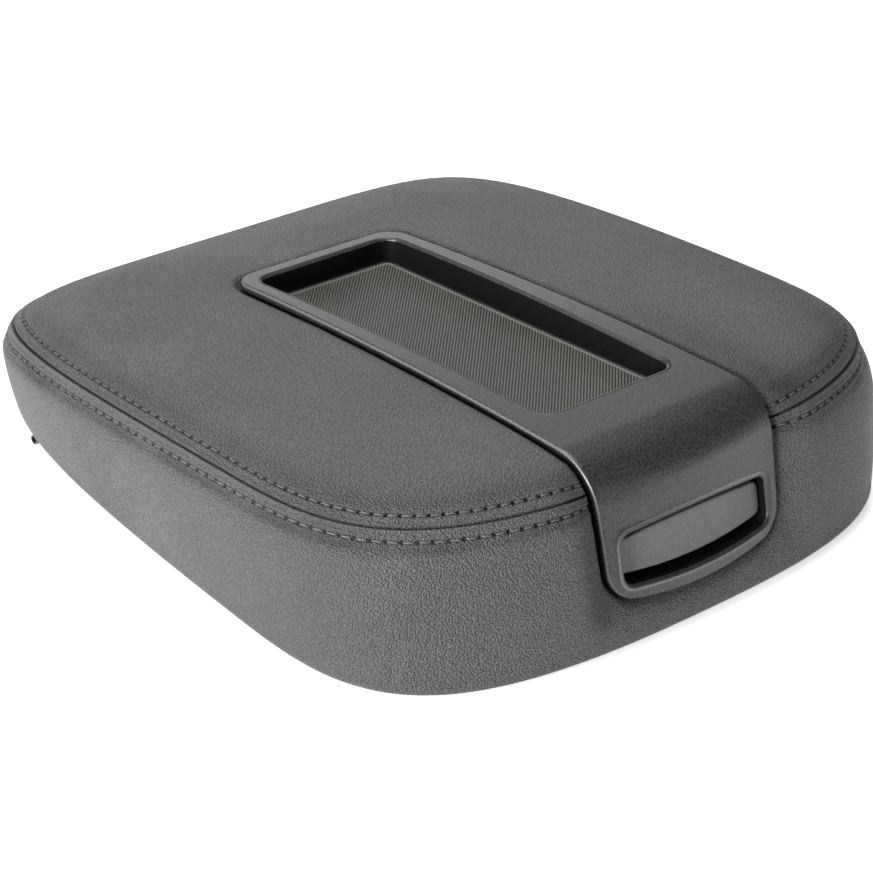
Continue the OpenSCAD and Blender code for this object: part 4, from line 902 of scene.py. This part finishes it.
def tray(sheet, row):
    """Rounded lip, drafted wall, fillet, border and the mat's pocket; gives the walls' range of faces."""
    mouth = tray_loop(LIP_R)
    surface_z = trim_point(mouth[:, 0], run_of_y(mouth[:, 1]), 0)[:, 2]
    floor_z = TRIM_TOP - TRAY_DEPTH
    for a in np.radians([72, 54, 36, 18, 0]):
        loop = tray_loop(LIP_R * (1 - math.cos(a)))
        row = sheet.ring(row, np.column_stack([loop, surface_z - LIP_R * (1 - math.sin(a))]), True)

    def level(row, grow, z):
        return sheet.ring(row, np.column_stack([tray_loop(grow), np.full(TRAY_STEPS, z)]), True)

    walls_start = len(sheet.faces)
    wall_low = floor_z + TRAY_FILLET
    for t in (0.5, 1.0):
        z = surface_z - LIP_R + (wall_low - surface_z + LIP_R) * t
        row = sheet.ring(row, np.column_stack([tray_loop(-TRAY_DRAFT * t), z]), True)
    for a in np.radians([30, 60, 90]):
        row = level(row, -TRAY_DRAFT - TRAY_FILLET * (1 - math.cos(a)), wall_low - TRAY_FILLET * math.sin(a))
    walls_end = len(sheet.faces)
    pocket = -TRAY_DRAFT - MAT_BORDER
    for grow, z in ((pocket + 0.5, floor_z), (pocket + 0.1, floor_z - 0.2), (pocket, floor_z - MAT_POCKET)):
        row = level(row, grow, z)
    centre = sheet.add([[0, (TRAY_REAR_Y - TRAY_FRONT_Y) / 2, floor_z - MAT_POCKET]])[0]
    sheet.faces += [(row[(i + 1) % TRAY_STEPS], row[i], centre) for i in range(TRAY_STEPS)]
    return walls_start, walls_end


def opening(sheet, row):
    """Fillet and collar of the finger opening; gives the collar's first face."""
    for a in np.radians([67, 45, 22, 0]):
        loop = matched_loop(opening_outline, OPEN_FILLET * (1 - math.cos(a)))
        row = sheet.ring(row, face_point(loop, OPEN_FILLET * (1 - math.sin(a))))
    collar_start = len(sheet.faces)
    loop = matched_loop(opening_outline, 0)
    wide = matched_loop(opening_outline, COLLAR_T)
    scoop = OPEN_COLLAR + SCOOP * clamp((OPEN_LOW + OPEN_LOW_BOW + SCOOP_H - loop[:, 1]) / SCOOP_FADE)
    for points, depth in ((loop, OPEN_COLLAR / 2), (loop, OPEN_COLLAR), (loop, scoop), (wide, scoop),
                          (wide, OPEN_COLLAR - 2)):
        row = sheet.ring(row, face_point(points, depth))
    return collar_start


def console_trim():
    sheet = Sheet()
    row, mouth, hole, highlit = trim_face(sheet)
    edge, inner = trim_outline(TRIM_INSETS[0]), trim_outline(TRIM_INSETS[-1])
    for loop, h in ((edge, -SKIRT), (inner, -SKIRT), (inner, -TRIM_T)):
        row = sheet.ring(row, trim_point(loop[:, 0], loop[:, 1], h))
    walls_start, walls_end = tray(sheet, mouth)
    collar_start = opening(sheet, hole)
    obj = add_mesh("console_trim", np.array(sheet.points), sheet.faces, "lid")
    for key in ("trim", "tray", "well", "edge"):
        obj.data.materials.append(MATERIALS[key])
    index = np.zeros(len(obj.data.polygons), np.int32)
    # painted highlight on the edge faces, in the lighter edge plastic
    index[:len(highlit)] = 3 * highlit
    # painted shade: the tray's walls get a near-black copy of the trim plastic
    index[walls_start:walls_end] = 1
    # painted shade: the opening's collar and scoop get the near-black inner plastic
    index[collar_start:] = 2
    obj.data.polygons.foreach_set("material_index", index)
    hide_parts("trim_bezel")
    return obj


def mat_surface():
    """Ribbed mat: crossed diagonal ridges on a rounded plate."""
    inset = TRAY_DRAFT + MAT_BORDER
    length = TRAY_REAR_Y + TRAY_FRONT_Y - 2 * inset
    top = TRIM_TOP - TRAY_DEPTH - MAT_POCKET + MAT_T - MAT_SINK
    us = np.linspace(-1, 1, int(2 * (TRAY_W_REAR - inset) / MAT_STEP))
    vs = np.linspace(0, 1, int(length / MAT_STEP))
    u, v = np.meshgrid(us, vs)
    y = -TRAY_FRONT_Y + inset + v * length
    w = (TRAY_W_FRONT - inset) + (TRAY_W_REAR - TRAY_W_FRONT) * v
    r = max(2.0, TRAY_CORNER_R - inset)
    e = np.minimum(y + TRAY_FRONT_Y - inset, TRAY_REAR_Y - inset - y)
    half = np.where(e < r, w - r + np.sqrt(np.maximum(0, r * r - (r - np.minimum(e, r)) ** 2)), w)
    x = u * half
    edge = clamp(np.minimum(half - np.abs(x), e) / MAT_EDGE)
    ridge, rib = [np.abs(np.sin(np.pi * run / MAT_PITCH / math.sqrt(2))) ** MAT_SHARP
                  for run in (x - y, x + y)]
    low = 1 - ridge * RIDGE_SHARE - (1 - RIDGE_SHARE) * rib
    pts = np.stack([x, y, top - MAT_RELIEF * low * edge], -1)
    obj = add_mesh("mat_ribs", pts.reshape(-1, 3), grid_faces(*x.shape, wrap=False), "lid")
    # share of painted shade in the mat's valleys
    valley_shade = obj.data.attributes.new("valley_shade", "FLOAT", "POINT")
    valley_shade.data.foreach_set("value", (low * edge).reshape(-1).astype(np.float32))
    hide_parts("tray_mat")
    return obj


def handle_face():
    """Moulded front of the latch handle, with a rounded edge all round."""
    sheet = Sheet()
    face = PLATE_RECESS - PLATE_FACE_T
    row = sheet.add(face_point(matched_loop(plate_outline, 0), face + PLATE_SIDE))
    for grow, depth in PLATE_EDGE:
        loop = matched_loop(plate_outline, grow)
        row = sheet.ring(row, face_point(loop, face + depth))
    middle = np.array([0, (PLATE_LOW + PLATE_TOP) / 2])
    for share in PLATE_RINGS:
        row = sheet.ring(row, face_point(middle + (loop - middle) * share, face))
    centre = sheet.add(face_point(middle[None, :], face))[0]
    sheet.faces += [(row[i], row[(i + 1) % OPEN_STEPS], centre) for i in range(OPEN_STEPS)]
    return add_mesh("handle_face", np.array(sheet.points), sheet.faces, "handle")


def handle_body():
    """The CAD handle, with its plate and arm set back behind the bowed front."""
    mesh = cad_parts["latch_handle"].data.copy()
    p = np.empty(len(mesh.vertices) * 3)
    mesh.vertices.foreach_get("co", p)
    p = p.reshape(-1, 3) / MM
    x, y, z = p.T.copy()
    face_y = BEND_END_Y - FACE_BOW * math.sin(FACE_ANGLE) ** 2 - (BEND_END_Z - z) / math.tan(FACE_ANGLE)
    below_arm = z < ARM_TOP - ARM_H
    plate = (y < face_y + PLATE_RECESS + PLATE_T + 0.1) & (z > OPEN_LOW + FINGER_GAP - 1) & below_arm
    arm_front = ~plate & (y < ARM_FRONT) & (z < ARM_TOP) & (z > ARM_TOP - ARM_H)
    p[:, 1] += plate * (PLATE_BACK + FACE_BOW * (x / W_BEND) ** 2) + arm_front * ARM_BACK
    p[:, 2] -= plate * PLATE_DROP * clamp((z - DROP_FROM) / DROP_OVER)
    mesh.vertices.foreach_set("co", (p * MM).reshape(-1))
    mesh.update()
    obj = bpy.data.objects.new("handle_body", mesh)
    bpy.context.scene.collection.objects.link(obj)
    paint(obj, "handle")
    obj.data.materials.append(MATERIALS["well"])
    # painted shade: the plate's faces behind the handle's front get the near-black inner plastic
    index = [int(all(plate[v] for v in face.vertices)) for face in mesh.polygons]
    mesh.polygons.foreach_set("material_index", index)
    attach(obj, "handle")
    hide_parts("latch_handle")
    return obj


# materials
def paint(obj, key):
    obj.data.materials.clear()
    obj.data.materials.append(MATERIALS[key])


def new_material(name, colour, rough, metallic=0.0):
    m = bpy.data.materials.new(name)
    m.use_nodes = True
    b = m.node_tree.nodes["Principled BSDF"]
    b.inputs["Base Color"].default_value = (*colour, 1)
    b.inputs["Roughness"].default_value = rough
    b.inputs["Metallic"].default_value = metallic
    return m, m.node_tree, b


def node(tree, kind, **values):
    n = tree.nodes.new(kind)
    for key, value in values.items():
        if key in n.inputs:
            n.inputs[key].default_value = value
        else:
            setattr(n, key, value)
    return n


def link(tree, a, out, b, socket):
    tree.links.new(a.outputs[out], b.inputs[socket])


def grain(tree, scale, detail):
    """Noise in object space."""
    n = node(tree, "ShaderNodeTexNoise", Scale=scale, Detail=detail, Roughness=0.6)
    link(tree, node(tree, "ShaderNodeTexCoord"), "Object", n, "Vector")
    return n


def ramp(tree, source, out, low, high, a, b):
    """Output of source, mapped from low..high to a..b."""
    r = node(tree, "ShaderNodeMapRange")
    for key, value in (("From Min", low), ("From Max", high), ("To Min", a), ("To Max", b)):
        r.inputs[key].default_value = value
    link(tree, source, out, r, "Value")
    return r


def colour_mix(tree, share, a, b, blend="MIX"):
    """Mix of two colours, each a socket or three numbers; the share is a socket or a number."""
    mix = node(tree, "ShaderNodeMix", data_type="RGBA", blend_type=blend)
    for k, value in ((0, share), (6, a), (7, b)):
        if isinstance(value, (float, tuple)):
            mix.inputs[k].default_value = (*value, 1) if isinstance(value, tuple) else value
        else:
            tree.links.new(value, mix.inputs[k])
    return mix.outputs[2]


def bump(tree, bsdf, height, strength, distance):
    b = node(tree, "ShaderNodeBump", Strength=strength, Distance=distance)
    tree.links.new(height, b.inputs["Height"])
    tree.links.new(b.outputs[0], bsdf.inputs["Normal"])


def point_value(tree, name):
    """A mesh's own value at each point."""
    n = node(tree, "ShaderNodeAttribute")
    n.attribute_name = name
    return n


def leather_material():
    """Pebbled leather: warped cells, fine wrinkles and patchy tone; pebbles darker in their hollows and
    lighter on their tops, partly their own tone and partly painted shade and light; painted shade in the
    needle holes, the seam's slit, along the stitches and right of the trim.
    """
    m, t, b = new_material("leather_pebbled", LEATHER_LIGHT, 0.5)
    b.inputs["Specular IOR Level"].default_value = 0.45
    pos = node(t, "ShaderNodeTexCoord")
    warp = node(t, "ShaderNodeTexNoise", Scale=WARP_SCALE, Detail=2.0)
    link(t, pos, "Object", warp, "Vector")
    mixer = node(t, "ShaderNodeMix", data_type="VECTOR")
    mixer.inputs[0].default_value = WARP
    link(t, pos, "Object", mixer, 4)
    link(t, warp, "Color", mixer, 5)
    cells = node(t, "ShaderNodeTexVoronoi", Scale=PEBBLE_SCALE)
    cells.feature = "F1"
    link(t, mixer, 1, cells, "Vector")
    pebble = ramp(t, cells, "Distance", 0.05, 0.75, 1.0, 0.0)
    height = node(t, "ShaderNodeMath", operation="MULTIPLY_ADD")
    link(t, grain(t, WRINKLE_SCALE, 2.0), "Fac", height, 0)
    height.inputs[1].default_value = WRINKLES
    link(t, pebble, 0, height, 2)
    bump(t, b, height.outputs[0], 1.0, PEBBLE_BUMP)
    tone = ramp(t, grain(t, PATCH_SCALE, 4.0), "Fac", 0.3, 0.7, 0.0, 1.0)
    base = colour_mix(t, tone.outputs[0], LEATHER_DARK, LEATHER_LIGHT)
    # pebbles darker in their hollows and lighter on their tops: partly the grain's own tone, partly painted
    # shade and light
    pebble_tone_and_shade = ramp(t, height, 0, 0.0, 1.0, 1 - PEBBLE_SHADE, 1 + PEBBLE_SHADE / 2)
    colour = colour_mix(t, 1.0, base, pebble_tone_and_shade.outputs[0], "MULTIPLY")
    # painted shade: the leather goes near black in the needle holes, the seam's slit, along the stitches and
    # right of the trim
    seam_shaded_colour = colour_mix(t, point_value(t, "seam_painted_shade").outputs["Fac"], colour, (0.004, 0.004, 0.004))
    t.links.new(seam_shaded_colour, b.inputs["Base Color"])
    rough = ramp(t, cells, "Distance", 0.0, 0.7, 0.38, 0.55)
    link(t, rough, 0, b, "Roughness")
    return m


def grained(t, b, dark, light, grains, tones, relief):
    """Gives a material its grain and tones; relief is the bump's strength and distance."""
    n = grain(t, *grains)
    bump(t, b, n.outputs["Fac"], *relief)
    spots = grain(t, *tones) if tones else n
    tone = ramp(t, spots, "Fac", 0.35, 0.65, 0.0, 1.0)
    t.links.new(colour_mix(t, tone.outputs[0], dark, light), b.inputs["Base Color"])
    return n


def plastic(name, dark, light, rough, scale, strength, spec=0.4):
    m, t, b = new_material(name, light, rough)
    b.inputs["Specular IOR Level"].default_value = spec
    n = grained(t, b, dark, light, (scale, 3.0), (scale * 0.8, 2.0), (strength, 0.00012))
    link(t, ramp(t, n, "Fac", 0.3, 0.7, rough - 0.05, rough + 0.08), 0, b, "Roughness")
    return m


def metal(name, dark, light, rough, metallic=1.0):
    m, t, b = new_material(name, light, rough, metallic)
    n = grained(t, b, dark, light, (260, 4.0), None, (0.12, 0.00008))
    link(t, ramp(t, n, "Fac", 0.3, 0.7, rough - 0.07, rough + 0.1), 0, b, "Roughness")
    return m


def mat_material():
    """Moulded rubber, with painted shade between its ridges."""
    m = plastic("mat_rubber", (0.125, 0.123, 0.111), (0.165, 0.162, 0.147), 0.5, 1500, 0.4)
    t = m.node_tree
    b = t.nodes["Principled BSDF"]
    colour = b.inputs["Base Color"].links[0].from_socket
    # painted shade: the mat goes near black between its ridges
    share = ramp(t, point_value(t, "valley_shade"), "Fac", 0.12, 0.62, 0.0, 1.0)
    t.links.new(colour_mix(t, share.outputs[0], colour, (0.006, 0.006, 0.005)), b.inputs["Base Color"])
    return m


LEATHER_DARK = (0.070, 0.072, 0.067)
LEATHER_LIGHT = (0.097, 0.099, 0.093)
PEBBLE_SCALE = 1050
PEBBLE_BUMP = 0.0012
PEBBLE_SHADE = 0.55
WARP_SCALE = 420
WARP = 0.0009
WRINKLE_SCALE = 3200
WRINKLES = 0.5
PATCH_SCALE = 16

# name, dark and light colour, roughness; for the plastics also the grain's scale, its strength and the
# specular level
MATERIALS = {
    "leather": leather_material(),
    "thread": plastic("bonded_thread", (0.075, 0.076, 0.072), (0.14, 0.141, 0.135), 0.42, 3000, 0.8),
    "trim": plastic("trim_grained", (0.005, 0.005, 0.0051), (0.036, 0.0361, 0.0364), 0.38, 1300, 1.0, 0.6),
    # lighter plastic: a painted highlight along the trim's edge and the opening's bead
    "edge": plastic("trim_edge_highlight", (0.075, 0.075, 0.076), (0.11, 0.11, 0.111), 0.3, 1600, 0.3, 0.8),
    # near-black copy of the trim plastic: painted shade for the tray's walls
    "tray": plastic("tray_walls_painted_shade", (0.002, 0.002, 0.0021), (0.005, 0.005, 0.0051), 0.65, 1600, 0.25,
                    0.06),
    # near-black plastic: painted shade inside the finger opening and behind the handle's front
    "well": plastic("inner_painted_shade", (0.003, 0.003, 0.003), (0.005, 0.005, 0.005), 0.6, 2300, 0.1, 0.1),
    "handle": plastic("handle_grained", (0.108, 0.107, 0.101), (0.150, 0.149, 0.141), 0.52, 1600, 0.5),
    "mat": mat_material(),
    "shell": plastic("shell_moulded", (0.020, 0.021, 0.022), (0.028, 0.029, 0.030), 0.6, 900, 0.3),
    "liner": plastic("liner_textured", (0.024, 0.025, 0.026), (0.036, 0.037, 0.038), 0.62, 800, 0.9),
    "foam": plastic("foam_open_cell", (0.040, 0.038, 0.036), (0.066, 0.063, 0.060), 0.9, 700, 1.0),
    "rubber": plastic("rubber_black", (0.012, 0.012, 0.012), (0.020, 0.020, 0.020), 0.75, 900, 0.3),
    "nylon": plastic("nylon_natural", (0.60, 0.57, 0.48), (0.70, 0.67, 0.58), 0.45, 700, 0.15),
    "coated": metal("steel_black_coated", (0.018, 0.018, 0.020), (0.030, 0.031, 0.033), 0.45, 0.0),
    "screw": metal("screw_black_zinc", (0.10, 0.10, 0.11), (0.17, 0.17, 0.18), 0.38),
    "zinc": metal("zinc_plated", (0.42, 0.42, 0.43), (0.58, 0.58, 0.59), 0.32),
}

NODE_MATERIALS = {
    "foam_pad": "foam", "upper_shell": "shell", "bezel_screws": "screw", "latch_housing": "shell",
    "housing_screws": "screw", "latch_handle": "handle", "latch_pin": "zinc", "latch_spring": "zinc",
    "inner_liner": "liner", "liner_screws": "screw", "rubber_stops": "rubber",
    "hinge_bracket_left": "coated", "hinge_bracket_right": "coated", "bracket_screws": "screw",
    "hinge_base": "coated", "hinge_bushes": "nylon", "hinge_pin_left": "screw",
    "hinge_pin_right": "screw", "hinge_clips": "screw",
}
for name, key in NODE_MATERIALS.items():
    paint(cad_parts[name], key)

top = leather_top()
side = leather_side()
paint(top, "leather")
paint(side, "leather")
for name, on_top in (("stitches_top", True), ("stitches_side", False)):
    paint(stitch_row(name, on_top), "thread")
console_trim()
paint(foam_core(), "foam")
paint(mat_surface(), "mat")
paint(handle_face(), "handle")
handle_body()

# floor, light, camera
FLOOR = 3.2
FLOOR_Z = -0.0002
FLOOR_LIFT = 0.6
WORLD_LEVEL = 0.12


def make_floor():
    """White floor, a little lighter to the camera and in reflections."""
    mesh = bpy.data.meshes.new("floor")
    half = FLOOR / 2
    corners = [(-half, -half, 0), (half, -half, 0), (half, half, 0), (-half, half, 0)]
    mesh.from_pydata(corners, [], [(0, 1, 2, 3)])
    obj = bpy.data.objects.new("floor", mesh)
    obj.location = (0, 0, FLOOR_Z)
    bpy.context.scene.collection.objects.link(obj)
    m, t, b = new_material("floor_white", (0.9, 0.9, 0.9), 0.9)
    b.inputs["Specular IOR Level"].default_value = 0.1
    seen = node(t, "ShaderNodeLightPath")
    either = node(t, "ShaderNodeMath", operation="MAXIMUM")
    link(t, seen, "Is Camera Ray", either, 0)
    link(t, seen, "Is Glossy Ray", either, 1)
    clear = node(t, "ShaderNodeMath", operation="MAXIMUM")
    link(t, either, "Value", clear, 0)
    link(t, seen, "Is Transmission Ray", clear, 1)
    lift = node(t, "ShaderNodeMath", operation="MULTIPLY")
    link(t, clear, "Value", lift, 0)
    lift.inputs[1].default_value = FLOOR_LIFT
    link(t, lift, "Value", b, "Emission Strength")
    b.inputs["Emission Color"].default_value = (1, 1, 1, 1)
    mesh.materials.append(m)


def make_world():
    """Faint sky light, white to the camera."""
    world = bpy.data.worlds.new("studio")
    bpy.context.scene.world = world
    world.use_nodes = True
    t = world.node_tree
    sky = t.nodes["Background"]
    sky.inputs["Color"].default_value = (0.95, 0.97, 1.0, 1)
    sky.inputs["Strength"].default_value = WORLD_LEVEL
    white = node(t, "ShaderNodeBackground", Strength=1.0)
    white.inputs["Color"].default_value = (1, 1, 1, 1)
    mix = node(t, "ShaderNodeMixShader")
    link(t, node(t, "ShaderNodeLightPath"), "Is Camera Ray", mix, 0)
    link(t, sky, "Background", mix, 1)
    link(t, white, "Background", mix, 2)
    link(t, mix, "Shader", t.nodes["World Output"], "Surface")


def area_light(name, location, size, power):
    data = bpy.data.lights.new(name, "AREA")
    data.shape = "RECTANGLE"
    data.size, data.size_y = size
    data.energy = power
    obj = bpy.data.objects.new(name, data)
    obj.location = location
    direction = Vector(LIGHT_TARGET) - Vector(location)
    obj.rotation_euler = direction.to_track_quat("-Z", "Y").to_euler()
    bpy.context.scene.collection.objects.link(obj)


LIGHT_TARGET = (0, 0, 0.05)
# name, place, size in m and power in W
LIGHTS = (
    ("key", (-1.3, 0.9, 1.5), (1.2, 1.2), 10.0),
    ("left", (-1.9, -0.3, 0.35), (1.2, 0.6), 86.0),
    ("back", (1.2, 1.7, 0.6), (1.6, 0.8), 9.5),
    ("front", (-0.2, -1.9, 0.35), (1.4, 0.5), 1.0),
    ("overhead", (0.2, 0.3, 2.0), (1.0, 1.0), 33.0),
    ("right", (1.5, -1.5, 0.3), (1.0, 0.5), 7.0),
)
make_floor()
make_world()
for light in LIGHTS:
    area_light(*light)

# camera: its place in mm, its axes and its lens
CAMERA_AT = (-756.81, -857.77, 581.54)
CAMERA_RIGHT = (0.7514, -0.6598, 0.0)
CAMERA_UP = (0.2900, 0.3303, 0.8982)
CAMERA_BACK = (-0.5927, -0.6749, 0.4396)
cam_data = bpy.data.cameras.new("camera")
cam_data.lens = 110.11
cam_data.sensor_width = 36
cam_data.clip_end = 20
cam = bpy.data.objects.new("camera", cam_data)
turned = Matrix((CAMERA_RIGHT, CAMERA_UP, CAMERA_BACK)).transposed().to_4x4()
cam.matrix_world = Matrix.Translation(Vector(CAMERA_AT) * MM) @ turned
bpy.context.scene.collection.objects.link(cam)
bpy.context.scene.camera = cam
bpy.context.scene.view_settings.view_transform = "Standard"
